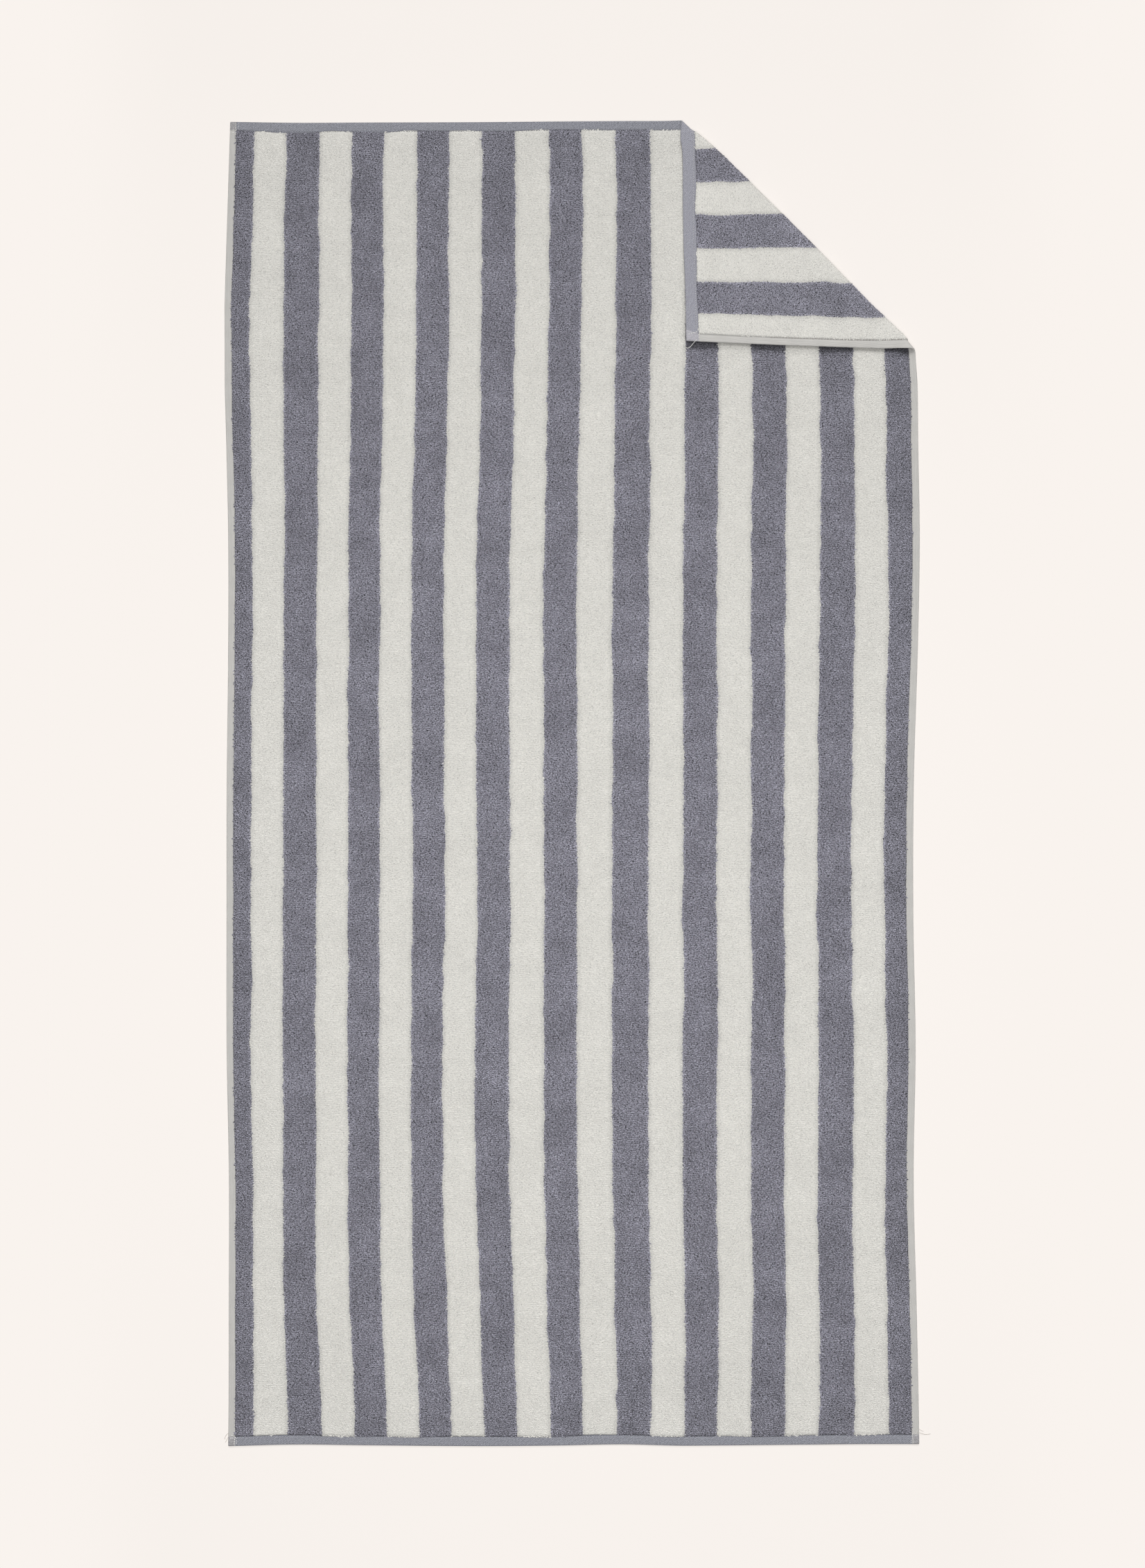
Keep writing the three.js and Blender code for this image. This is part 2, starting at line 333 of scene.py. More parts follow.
@dataclass
class Drape:
    """The shape in which the cloth lies, in millimetres: where each point of it is in space."""

    width: float = 782.0
    length: float = 1502.0
    pile_thick: float = 4.0
    hem_thick: float = 2.4
    end_hem: float = 11.0
    side_hem: float = 8.0
    pile_ramp: float = 2.0
    fold_distance: float = 618.4
    layer_gap: float = 0.6
    fold_start_u: float = 521.5
    fold_end_v: float = 1237.0
    roll_settles: float = 60.0
    common_roll: float = 3.4
    widest_roll: float = 4.3
    fold_top_end: float = -445.0
    corner_round: float = 1.2
    contact_shade: float = 0.66
    contact_reach: float = 2.0
    contact_beside: float = 5.0
    shift: Array = field(default_factory=lambda: np.zeros(3))

    def rounded(self, u: Array, v: Array) -> tuple[Array, Array]:
        """Draws the four corners of the cloth in to a small radius.

        Near a corner the square round it is scaled towards its inner corner, so that the
        square's outer sides become a quarter circle.

        Args:
            u: Distances from the left selvedge.
            v: Distances from the bottom end.

        Returns:
            The new u and v.
        """
        from_side = np.minimum(u, self.width - u)
        from_end = np.minimum(v, self.length - v)
        a = np.clip(self.corner_round - from_side, 0.0, None)
        b = np.clip(self.corner_round - from_end, 0.0, None)
        reach = np.hypot(a, b)
        share = np.where(reach > 0, np.maximum(a, b) / np.maximum(reach, 1e-9), 1.0)
        step_u = np.where(b > 0, a * (1 - share), 0.0) * np.where(u < self.width / 2, 1, -1)
        step_v = np.where(a > 0, b * (1 - share), 0.0) * np.where(v < self.length / 2, 1, -1)
        return u + step_u, v + step_v

    def flat_place(self, u: Array, v: Array) -> tuple[Array, Array]:
        """Where a point of the cloth lies on the surface, before the corner is turned.

        Args:
            u: Distances from the left selvedge.
            v: Distances from the bottom end.

        Returns:
            x and y.
        """
        straight = v - self.length / 2
        part = u / self.width
        shifts = np.stack([SWAY.curve(name, straight) for name in SWAY.columns[1:]])
        x = u - self.width / 2 + smooth_curve(np.array(SWAY_PARTS), shifts, part)
        y = straight + blend(
            ENDS.curve("bottom", part), ENDS.curve("top", part), v / self.length
        )
        return x, y

    def thickness(self, u: Array, v: Array) -> Array:
        """Thickness of the cloth with its pile: thin in the hems and full inside them.

        Args:
            u: Distances from the left selvedge.
            v: Distances from the bottom end.

        Returns:
            The thickness at each point.
        """
        inside = np.minimum(
            np.minimum(u, self.width - u) - self.side_hem,
            np.minimum(v, self.length - v) - self.end_hem,
        )
        share = np.clip(inside / self.pile_ramp, 0.0, 1.0)
        return blend(self.hem_thick, self.pile_thick, share)

    def face_height(self, x: Array, y: Array) -> Array:
        """Height of the top of the single cloth at a place on the surface.

        The cloth's own u and v there are the place less the sway, read once at that place.

        Args:
            x: Distances to the right of the middle.
            y: Distances above the middle.

        Returns:
            The heights.
        """
        across, along = x + self.width / 2, y + self.length / 2
        moved_x, moved_y = self.flat_place(across, along)
        u = np.clip(across - (moved_x - x), 0.0, self.width)
        v = np.clip(along - (moved_y - y), 0.0, self.length)
        return self.thickness(u, v)

    def swell(self, x: Array, y: Array) -> Array:
        """Height of the low swells in which the cloth doesn't lie quite down."""
        return SWELLS.mounds(x, y)

    def past_fold(self, u: Array, v: Array) -> tuple[Array, Array]:
        """How far a point lies beyond the crease, and how wide the bend is there.

        Args:
            u: Distances from the left selvedge.
            v: Distances from the bottom end.

        Returns:
            Distances square to the crease, and the bend's radius.
        """
        x, y = self.flat_place(u, v)
        out, along = (x + y) * DIAGONAL, (x - y) * DIAGONAL - self.fold_top_end
        return out - self.fold_distance - FOLD.curve("set", along), FOLD.curve("roll", along)

    def laid(self, u: Array, v: Array) -> tuple[Array, Array]:
        """Lays points of the cloth.

        Cloth past the fold line first goes round the bend, a half circle, and then back over
        the face, where it settles from the bend's height down to a layer gap.

        Args:
            u: Distances from the left selvedge.
            v: Distances from the bottom end.

        Returns:
            The middle of the cloth's thickness, and the direction in which its face looks.
        """
        x, y = self.flat_place(u, v)
        half = self.thickness(u, v) / 2
        out, down = (x + y) * DIAGONAL, (x - y) * DIAGONAL
        along = down - self.fold_top_end
        crease = self.fold_distance + FOLD.curve("set", along)
        roll, pull = FOLD.curve("roll", along), FOLD.curve("pull", along)
        past = out - crease
        angle = np.clip(past / roll, 0.0, np.pi)
        overlap = np.clip(past - np.pi * roll, 0.0, None)
        loose = 2 * (crease - self.fold_distance) + np.pi * (roll - self.common_roll)
        askew = loose * ease(overlap / pull)
        reach = np.minimum(past, 0.0) + roll * np.sin(angle) - overlap - askew
        x = (crease + reach + down) * DIAGONAL
        y = (crease + reach - down) * DIAGONAL
        height = half + roll * (1 - np.cos(angle))
        resting = self.face_height(x, y) + self.layer_gap + half
        settled = np.maximum(blend(height, resting, ease(overlap / self.roll_settles)), resting)
        height = np.where(overlap > 0, settled, height) + self.swell(x, y)
        tilt = -np.sin(angle) * DIAGONAL
        return np.stack([x, y, height], -1), np.stack([tilt, tilt, np.cos(angle)], -1)

    def place(self, u: Array, v: Array, lift: Array) -> Array:
        """Points in space, in metres, this far above mid-cloth towards the face."""
        middle, facing = self.laid(u, v)
        return (middle + facing * np.asarray(lift)[..., None]) * MM + self.shift

    def turned(self, u: Array, v: Array) -> Array:
        """How far the cloth is turned over: 0 where it lies face up and 1 where it lies back up."""
        past, roll = self.past_fold(u, v)
        return ease(past / (np.pi * roll))

    def beyond_corner(self, u: Array, v: Array) -> tuple[Array, Array]:
        """How far a point of the face lies beyond the two edges of the turned corner.

        The point is reflected in the crease, and is covered if that lands on the cloth.

        Args:
            u: Distances from the left selvedge.
            v: Distances from the bottom end.

        Returns:
            Distances beyond its side edge and its end edge, both below nothing under the corner.
        """
        past, roll = self.past_fold(u, v)
        step = ((np.pi - 2) * roll - 2 * past) * DIAGONAL
        far = np.where(past < 0, 0.0, self.length)
        return u + step - self.width + far, v + step - self.length + far

    def open(self, u: Array, v: Array, side: Side) -> Array:
        """How open to light a point is: little on the face close below the turned corner.

        The shade falls off as a bell does, and faster beside the corner than below it.

        Args:
            u: Distances from the left selvedge.
            v: Distances from the bottom end.
            side: Side of the cloth.

        Returns:
            Shares from 0 to 1.
        """
        if side is Side.BACK:
            return np.ones_like(u)
        below, beside = self.beyond_corner(u, v)
        beside = self.contact_beside * np.clip(beside, 0.0, None)
        away = np.hypot(np.clip(below, 0.0, None), beside)
        # This shade is painted into the colour of the ground and the pile.
        return 1.0 - self.contact_shade * np.exp(-away / self.contact_reach)


@dataclass(frozen=True)
class Hem:
    """The turned and sewn border of the cloth, in millimetres. Widths are as they show."""

    end_on_face: float = 10.6
    end_on_back: float = 14.0
    side_on_face: float = 7.9
    side_on_back: float = 8.7
    end_stitching: float = 10.4
    side_stitching: float = 7.3
    half: float = 1.15
    crown: float = 0.14
    groove: float = 0.42
    groove_reach: float = 0.75
    corner_rise: float = 0.25
    uneven: float = 1.4
    uneven_size: float = 30.0
    uneven_seed: int = 31
    side_uneven: float = 0.35
    pile_starts: float = -0.4
    pile_climbs: float = 1.2
    tack_wider: float = 4.6
    tack_askew: float = 0.3

    def widths(self, side: Side) -> tuple[float, float]:
        """Widths of the end and side hems as they show on one side of the cloth."""
        on_back = self.end_on_back, self.side_on_back
        return (self.end_on_face, self.side_on_face) if side is Side.FACE else on_back

    def depths(self, drape: Drape, u: Array, v: Array, side: Side) -> tuple[Array, Array]:
        """How deep a point lies inside the end hems and inside the side hems.

        The inner border of the hems wanders, as the pile that leans over it does.

        Args:
            drape: How the cloth lies.
            u: Distances from the left selvedge.
            v: Distances from the bottom end.
            side: Side of the cloth.

        Returns:
            Depths from the hem's inner border towards the edge of the cloth.
        """
        end_width, side_width = self.widths(side)
        wander = self.uneven * patches(self.uneven_seed, self.uneven_size, u, v)
        from_side = np.minimum(u, drape.width - u)
        from_end = np.minimum(v, drape.length - v)
        return end_width + wander - from_end, side_width + self.side_uneven * wander - from_side

    def tack_depth(self, drape: Drape, u: Array, v: Array, side: Side) -> Array:
        """How deep a point lies inside a corner, where the side hem is folded over the end hem.

        The back's corner at the top right was folded a little askew, and is wider.

        Args:
            drape: How the cloth lies.
            u: Distances from the left selvedge.
            v: Distances from the bottom end.
            side: Side of the cloth.

        Returns:
            Depths from the corner patch's inner border.
        """
        in_end, in_side = self.depths(drape, u, v, side)
        if side is Side.BACK:
            in_side = in_side + self.tack_wider - self.tack_askew * (drape.length - v)
        return np.minimum(in_end, in_side)

    def band(self, depth: Array, width: float, stitching: float) -> Array:
        """Height of a hem above mid-cloth.

        The outer edge is a quarter circle, the band is crowned across its width, and the row of
        stitches draws a groove into it.

        Args:
            depth: Distances from the edge of the cloth.
            width: Width of the hem.
            stitching: Distance of the stitches from the edge.

        Returns:
            The heights.
        """
        edge = np.clip(1.0 - depth / self.half, 0.0, 1.0)
        crown = self.crown * np.sin(np.pi * np.clip(depth / width, 0.0, 1.0))
        groove = self.groove * np.exp(-(((depth - stitching) / self.groove_reach) ** 2))
        return (self.half + crown - groove) * np.sqrt(1.0 - edge**2)

    def lift(self, drape: Drape, u: Array, v: Array, side: Side, inner: Array) -> Array:
        """Height of the cloth's surface above mid-cloth, in the hems and inside them.

        Args:
            drape: How the cloth lies.
            u: Distances from the left selvedge.
            v: Distances from the bottom end.
            side: Side of the cloth.
            inner: Height of the surface inside the hems.

        Returns:
            The heights.
        """
        end_width, side_width = self.widths(side)
        from_side = np.minimum(u, drape.width - u)
        from_end = np.minimum(v, drape.length - v)
        height = np.minimum(
            self.band(from_side, side_width, self.side_stitching),
            self.band(from_end, end_width, self.end_stitching),
        )
        inside = -np.maximum(*self.depths(drape, u, v, side))
        doubled = ease(side_width - from_side) * ease(end_width - from_end)
        height = height * (1.0 + self.corner_rise * doubled)
        return blend(height, inner, ease((inside - self.pile_starts) / self.pile_climbs))


def mesh_object(
    name: str,
    points: Array,
    faces: list[Array],
    smooth: bool,
    values: dict[str, Array] | None = None,
    bake_map: Array | None = None,
) -> bpy.types.Object:
    """Puts arrays into a mesh and makes an object of it, at the origin.

    Args:
        name: Name of the object and the mesh.
        points: One row of x, y and z for each vertex.
        faces: Arrays of vertex numbers, each with one row for a face, turning left seen from
            outside.
        smooth: Whether the faces are shaded as one smooth surface.
        values: Named numbers or vectors, one for each vertex.
        bake_map: One row of map coordinates for each corner, in the order of the faces.

    Returns:
        The object, linked to the scene.
    """
    mesh = bpy.data.meshes.new(name)
    corners = np.concatenate([part.ravel() for part in faces]).astype(np.int32)
    sizes = np.concatenate([np.full(len(part), part.shape[1]) for part in faces])
    starts = np.concatenate([[0], np.cumsum(sizes)[:-1]]).astype(np.int32)
    mesh.vertices.add(len(points))
    mesh.loops.add(len(corners))
    mesh.polygons.add(len(sizes))
    mesh.vertices.foreach_set("co", points.astype(np.float32).ravel())
    mesh.loops.foreach_set("vertex_index", corners)
    mesh.polygons.foreach_set("loop_start", starts)
    mesh.polygons.foreach_set("use_smooth", np.full(len(sizes), smooth))
    mesh.update(calc_edges=True)
    for key, found in (values or {}).items():
        kind, slot = ("FLOAT_VECTOR", "vector") if found.ndim > 1 else ("FLOAT", "value")
        attribute = mesh.attributes.new(key, kind, "POINT")
        attribute.data.foreach_set(slot, found.astype(np.float32).ravel())
    if bake_map is not None:
        layer = mesh.uv_layers.new(name="OFBake", do_init=False)
        layer.uv.foreach_set("vector", bake_map.astype(np.float32).ravel())
    obj = bpy.data.objects.new(name, mesh)
    bpy.context.scene.collection.objects.link(obj)
    return obj


def outward(points: Array, faces: list[Array]) -> list[Array]:
    """Turns the faces of closed forms over if they look inwards.

    Args:
        points: The vertices.
        faces: Arrays of vertex numbers.

    Returns:
        The same faces, so that the volume that they hold is more than nothing.
    """
    volume = 0.0
    for part in faces:
        for k in range(1, part.shape[1] - 1):
            a, b, c = points[part[:, 0]], points[part[:, k]], points[part[:, k + 1]]
            volume += np.einsum("ij,ij->", a, np.cross(b, c))
    return faces if volume > 0 else [part[:, ::-1] for part in faces]


def finish_piece(piece: bpy.types.Object, material: bpy.types.Material) -> bpy.types.Object:
    """Dresses a piece, ties it to the cloth's body, and reports it.

    Args:
        piece: The piece.
        material: Its finish.

    Returns:
        The same piece.
    """
    piece.data.materials.append(material)
    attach(piece, BODY)
    LOG.info("%s: %d faces", piece.name, len(piece.data.polygons))
    return piece


class Graph:
    """A node tree being built. Its methods add one node each and return the output to use."""

    def __init__(self, tree: bpy.types.NodeTree) -> None:
        """Starts on an empty tree."""
        self.tree = tree

    def add(self, kind: str, **settings: object) -> bpy.types.Node:
        """Adds a node.

        Args:
            kind: Its type.
            settings: Its settings, by name.

        Returns:
            The node.
        """
        node = self.tree.nodes.new(kind)
        for key, value in settings.items():
            setattr(node, key, value)
        return node

    def feed(self, socket: Socket, source: Socket | float | Colour) -> None:
        """Links a socket to an output, or sets it to a number or colour.

        Args:
            socket: The input.
            source: An output, a number, or a colour or vector of three numbers.
        """
        if isinstance(source, bpy.types.NodeSocket):
            self.tree.links.new(source, socket)
        elif isinstance(source, tuple) and socket.type == "RGBA":
            socket.default_value = (*source, 1.0)
        else:
            socket.default_value = source

    def fed(
        self, kind: str, sources: dict[str | int, Socket | float | Colour], **settings: object
    ) -> bpy.types.Node:
        """Adds a node and feeds its inputs.

        Args:
            kind: Its type.
            sources: What feeds its inputs, by name or number.
            settings: Its settings, by name.

        Returns:
            The node.
        """
        node = self.add(kind, **settings)
        for key, source in sources.items():
            self.feed(node.inputs[key], source)
        return node

    def math(
        self, operation: str, first: Socket | float, second: Socket | float = 0.0
    ) -> Socket:
        """The result of one operation on one or two numbers."""
        sources = {0: first, 1: second}
        return self.fed("ShaderNodeMath", sources, operation=operation).outputs[0]

    def mix(self, share: Socket | float, low: Socket | float, high: Socket | float) -> Socket:
        """The number that lies this share of the way from low to high."""
        sources = {0: share, 2: low, 3: high}
        return self.fed("ShaderNodeMix", sources, data_type="FLOAT").outputs[0]

    def mix_colour(
        self,
        share: Socket | float,
        low: Socket | Colour,
        high: Socket | Colour,
        way: str = "MIX",
    ) -> Socket:
        """Mixes two colours.

        Args:
            share: How much of the second is mixed in.
            low: The first colour.
            high: The second colour.
            way: The blend type.

        Returns:
            The mixed colour.
        """
        sources = {0: share, 6: low, 7: high}
        return self.fed("ShaderNodeMix", sources, data_type="RGBA", blend_type=way).outputs[2]

    def shade(self, colour: Socket | Colour, amount: Socket | float) -> Socket:
        """A colour made lighter or darker by a factor."""
        sources = {0: colour, "Scale": amount}
        return self.fed("ShaderNodeVectorMath", sources, operation="SCALE").outputs[0]

    def step(self, value: Socket | float, start: float | Socket, end: float | Socket) -> Socket:
        """0 before start, 1 past end and eased between them. end may lie before start."""
        sources = {"Value": value, "From Min": start, "From Max": end}
        return self.fed("ShaderNodeMapRange", sources, interpolation_type="SMOOTHSTEP").outputs[0]

    def swing(self, height: Socket, contrast: Socket | float) -> Socket:
        """A factor round 1 that follows a height from 0 to 1, with this contrast."""
        share = self.math("MULTIPLY", self.math("SUBTRACT", height, 0.5), contrast)
        return self.math("ADD", 1.0, share)

    def noise(
        self, vector: Socket, scale: float, detail: float = 2.0, roughness: float = 0.5
    ) -> Socket:
        """Smooth random numbers round a half, with this many to a metre."""
        sources = {"Vector": vector, "Scale": scale, "Detail": detail, "Roughness": roughness}
        return self.fed("ShaderNodeTexNoise", sources).outputs["Fac"]

    def cell(self, vector: Socket, scale: float) -> tuple[Socket, Socket]:
        """Cuts the plane into random cells.

        Args:
            vector: The place.
            scale: Number of cells to a metre.

        Returns:
            A random number for each cell, and the distance from its middle in cells.
        """
        sources = {"Vector": vector, "Scale": scale}
        node = self.fed("ShaderNodeTexVoronoi", sources, voronoi_dimensions="2D")
        return self.parts(node.outputs["Color"])[0], node.outputs["Distance"]

    def stretched(self, vector: Socket, x: float, y: float, z: float) -> Socket:
        """A vector with each of its parts scaled."""
        sources = {0: vector, 1: (x, y, z)}
        return self.fed("ShaderNodeVectorMath", sources, operation="MULTIPLY").outputs[0]

    def turned(self, vector: Socket, angle: float) -> Socket:
        """A vector turned about Z by this angle."""
        sources = {"Vector": vector, "Angle": angle}
        return self.fed("ShaderNodeVectorRotate", sources, rotation_type="Z_AXIS").outputs[0]

    def parts(self, vector: Socket) -> tuple[Socket, Socket, Socket]:
        """The three parts of a vector."""
        return tuple(self.fed("ShaderNodeSeparateXYZ", {0: vector}).outputs)

    def attribute(self, name: str) -> bpy.types.Node:
        """A node that reads one of the mesh's own named values."""
        return self.add("ShaderNodeAttribute", attribute_name=name)

    def own_place(self) -> Socket:
        """The point's place in the object's own frame."""
        return self.add("ShaderNodeTexCoord").outputs["Object"]

    def group(self, tree: bpy.types.NodeTree, **inputs: Socket | float) -> dict[str, Socket]:
        """Places a node group.

        Args:
            tree: The group.
            inputs: What feeds its inputs, by name.

        Returns:
            Its outputs by name.
        """
        node = self.fed("ShaderNodeGroup", inputs, node_tree=tree)
        return {socket.name: socket for socket in node.outputs}


def new_group(
    name: str, inputs: tuple[tuple[str, str], ...], outputs: tuple[tuple[str, str], ...]
) -> tuple[bpy.types.NodeTree, Graph, Socket, bpy.types.Node]:
    """Starts a shader node group with named sockets.

    Args:
        name: Name of the group.
        inputs: Name and kind of each input.
        outputs: Name and kind of each output.

    Returns:
        The group, a graph to build it with, its input node's outputs and its output node.
    """
    tree = bpy.data.node_groups.new(name, "ShaderNodeTree")
    for in_out, wanted in (("INPUT", inputs), ("OUTPUT", outputs)):
        for label, kind in wanted:
            tree.interface.new_socket(label, in_out=in_out, socket_type=f"NodeSocket{kind}")
    graph = Graph(tree)
    given = graph.add("NodeGroupInput").outputs
    return tree, graph, given, graph.add("NodeGroupOutput")


@dataclass(frozen=True)
class Stripes:
    """The lengthwise stripes, in millimetres. On the back the two colours change places."""

    first_edge: float = 28.5
    width: float = 38.0
    softness: float = 0.5

    def pale(self, u: Array, side: Array) -> Array:
        """Whether the yarn at this distance from the left selvedge is the pale one."""
        even = np.floor((u - self.first_edge) / self.width) % 2 == 0
        return np.where(side > 0.5, even, ~even)

    def group(self) -> bpy.types.NodeTree:
        """Builds the group that says how pale the cloth is at a place on it.

        The place's first number is u and its third is 1 on the face and 0 on the back. The
        distance to the middle of the nearest pale stripe is compared with half a stripe.

        Returns:
            The group. Pale is from 0 to 1, and Inset is how far the place lies from the nearest
            border between two stripes.
        """
        tree, graph, given, result = new_group(
            "stripes", (("Place", "Vector"),), (("Pale", "Float"), ("Inset", "Float"))
        )
        u, _, side = graph.parts(given["Place"])
        period = 2 * self.width * MM
        middle = (self.first_edge + self.width / 2) * MM
        turns = graph.math("DIVIDE", graph.math("SUBTRACT", u, middle), period)
        whole = graph.math("ROUND", turns)
        apart = graph.math("ABSOLUTE", graph.math("SUBTRACT", turns, whole))
        soft = self.softness * MM / period
        on_face = graph.step(apart, 0.25 + soft, 0.25 - soft)
        on_back = graph.math("SUBTRACT", 1.0, on_face)
        graph.feed(result.inputs["Pale"], graph.mix(side, on_back, on_face))
        from_border = graph.math("ABSOLUTE", graph.math("SUBTRACT", apart, 0.25))
        graph.feed(result.inputs["Inset"], graph.math("MULTIPLY", from_border, period))
        return tree


@dataclass(frozen=True)
class Fibres:
    """Loose cotton fibres: fine noise drawn out along the cloth, and tangled noise. The scales
    are in noise cells to a metre."""

    fine: float = 2600.0
    drawn: float = 0.35
    tangled: float = 1100.0
    detail: float = 3.0
    tangle_roughness: float = 0.6

    def group(self) -> bpy.types.NodeTree:
        """Builds the group.

        Returns:
            The group. Shade lies round 1, and Height is from 0 to 1.
        """
        tree, graph, given, result = new_group(
            "fibres",
            (("Vector", "Vector"), ("Contrast", "Float")),
            (("Shade", "Float"), ("Height", "Float")),
        )
        drawn = graph.stretched(given["Vector"], 1.0, self.drawn, 1.0)
        across = graph.noise(drawn, self.fine, self.detail)
        tangled = graph.noise(given["Vector"], self.tangled, self.detail, self.tangle_roughness)
        height = graph.mix(0.5, across, tangled)
        graph.feed(result.inputs["Shade"], graph.swing(height, given["Contrast"]))
        graph.feed(result.inputs["Height"], height)
        return tree


@dataclass(frozen=True)
class Flecks:
    """The short strands that lie side by side all over the pile.

    Each strand is a cell drawn out across the towel. It is round on top and falls off towards its
    edge, and it lies a little deeper or higher as chance has it. Three such layers of cells,
    turned a little either way, take turns from place to place, so that the strands wander.
    Cells and turns are counted to a metre, and edge and top are in cells."""

    cells: float = 1500.0
    drawn: float = 0.36
    edge: float = 0.75
    top: float = 0.25
    chance: float = 0.2
    angles: tuple[float, float, float] = (-0.6, 0.0, 0.5)
    turns: float = 55.0
    first_turn: tuple[float, float] = (0.44, 0.49)
    second_turn: tuple[float, float] = (0.51, 0.56)

    def group(self) -> bpy.types.NodeTree:
        """Builds the group.

        Returns:
            The group. Strand is from 0, deep down, to 1, on top.
        """
        tree, graph, given, result = new_group(
            "flecks", (("Vector", "Vector"),), (("Strand", "Float"),)
        )
        chosen = graph.noise(given["Vector"], self.turns, 1.0)
        layers = []
        for angle in self.angles:
            drawn = graph.stretched(graph.turned(given["Vector"], angle), self.drawn, 1.0, 1.0)
            depth, away = graph.cell(drawn, self.cells)
            layers.append(graph.mix(self.chance, graph.step(away, self.edge, self.top), depth))
        first = graph.mix(graph.step(chosen, *self.first_turn), layers[0], layers[1])
        strand = graph.mix(graph.step(chosen, *self.second_turn), first, layers[2])
        graph.feed(result.inputs["Strand"], strand)
        return tree


@dataclass(frozen=True)
class PilePatches:
    """The pile's soft lighter and darker patches, broad ones and small ones, in noise cells to
    a metre, and the middle of the towel, round which painted light lies on the slate pile, with how
    far it reaches, in metres."""

    broad: float = 20.0
    broad_roughness: float = 0.6
    small: float = 90.0
    small_roughness: float = 0.5
    small_share: float = 0.35
    detail: float = 2.0
    middle: tuple[float, float] = (0.41, 0.79)
    reach: tuple[float, float] = (0.55, 1.0)

    def group(self) -> bpy.types.NodeTree:
        """Builds the group.

        Returns:
            The group. Shade lies round 1, and Middle falls from 1 at the middle of the towel
            with the square of the distance from it, to about 0 at its edges.
        """
        tree, graph, given, result = new_group(
            "pile_patches",
            (("Place", "Vector"), ("Contrast", "Float")),
            (("Shade", "Float"), ("Middle", "Float")),
        )
        broad = graph.noise(given["Place"], self.broad, self.detail, self.broad_roughness)
        small = graph.noise(given["Place"], self.small, self.detail, self.small_roughness)
        both = graph.mix(self.small_share, broad, small)
        graph.feed(result.inputs["Shade"], graph.swing(both, given["Contrast"]))
        squares = []
        for part, middle, reach in zip(graph.parts(given["Place"]), self.middle, self.reach):
            away = graph.math("DIVIDE", graph.math("SUBTRACT", part, middle), reach)
            squares.append(graph.math("MULTIPLY", away, away))
        away = graph.math("ADD", *squares)
        graph.feed(result.inputs["Middle"], graph.math("SUBTRACT", 1.0, away))
        return tree


@dataclass(frozen=True)
class Twill:
    """The flat weave of the hems.

    Slanting ribs, a sine of u and v added up, cross finer threads, a sine of v alone."""

    steep: float = 1.575
    threads: float = 1.7
    rib_height: float = 0.3
    thread_height: float = 0.12
    loose: float = 0.0016
    loose_scale: float = 500.0

    def group(self) -> bpy.types.NodeTree:
        """Builds the group.

        Returns:
            The group. Shade lies round 1, and Height is from 0 to 1.
        """
        tree, graph, given, result = new_group(
            "twill",
            (("Place", "Vector"), ("Pitch", "Float"), ("Contrast", "Float")),
            (("Shade", "Float"), ("Height", "Float")),
        )
        u, v, _ = graph.parts(given["Place"])
        turn = graph.math("DIVIDE", 2 * math.pi, given["Pitch"])
        slant = graph.math("ADD", u, graph.math("MULTIPLY", v, self.steep))
        loose = graph.math("MULTIPLY", graph.noise(given["Place"], self.loose_scale), self.loose)
        rib = graph.math("SINE", graph.math("MULTIPLY", graph.math("ADD", slant, loose), turn))
        finer = graph.math("MULTIPLY", turn, self.threads)
        thread = graph.math("SINE", graph.math("MULTIPLY", v, finer))
        both = graph.math("ADD", graph.math("MULTIPLY", rib, self.rib_height), 0.5)
        height = graph.math("ADD", both, graph.math("MULTIPLY", thread, self.thread_height))
        graph.feed(result.inputs["Shade"], graph.swing(height, given["Contrast"]))
        graph.feed(result.inputs["Height"], height)
        return tree


@dataclass(frozen=True)
class Yarns:
    """Colours of the yarns, and of the floor that the towel lies on."""

    slate: Colour = srgb(144, 143, 154)
    pale: Colour = srgb(229, 227, 221)
    end_hem_face: Colour = srgb(143, 144, 152)
    end_hem_back: Colour = srgb(158, 158, 167)
    side_hem: Colour = srgb(197, 195, 191)
    corner_face: Colour = srgb(163, 161, 163)
    corner_back: Colour = srgb(182, 180, 186)
    white_thread: Colour = srgb(240, 239, 236)
    slate_thread: Colour = srgb(112, 112, 122)
    red_thread: Colour = srgb(132, 112, 106)
    pale_thread: Colour = srgb(212, 210, 205)
    loose_thread: Colour = srgb(196, 190, 182)


@dataclass(frozen=True)
class Effects:
    """The node groups that more than one finish uses."""

    stripes: bpy.types.NodeTree
    fibres: bpy.types.NodeTree
    flecks: bpy.types.NodeTree
    patches: bpy.types.NodeTree
    twill: bpy.types.NodeTree


def new_material(name: str, roughness: float, sheen: float) -> tuple[Graph, bpy.types.Node]:
    """Starts a cotton material, which mirrors little.

    Args:
        name: Name of the material.
        roughness: How matt it is.
        sheen: How much its loose fibres catch light from the side.

    Returns:
        A graph to build it with, and its Principled node.
    """
    material = bpy.data.materials.new(name)
    material.use_nodes = True
    shader = material.node_tree.nodes["Principled BSDF"]
    shader.inputs["Roughness"].default_value = roughness
    shader.inputs["Specular IOR Level"].default_value = COTTON_GLOSS
    shader.inputs["Sheen Weight"].default_value = sheen
    shader.inputs["Sheen Roughness"].default_value = COTTON_SHEEN_ROUGHNESS
    return Graph(material.node_tree), shader


def add_bump(graph: Graph, shader: bpy.types.Node, height: Socket, depth: float) -> None:
    """Feeds the shader's normal from a height, depth metres from its lowest to its highest."""
    bump = graph.fed("ShaderNodeBump", {"Distance": depth, "Height": height})
    graph.feed(shader.inputs["Normal"], bump.outputs[0])


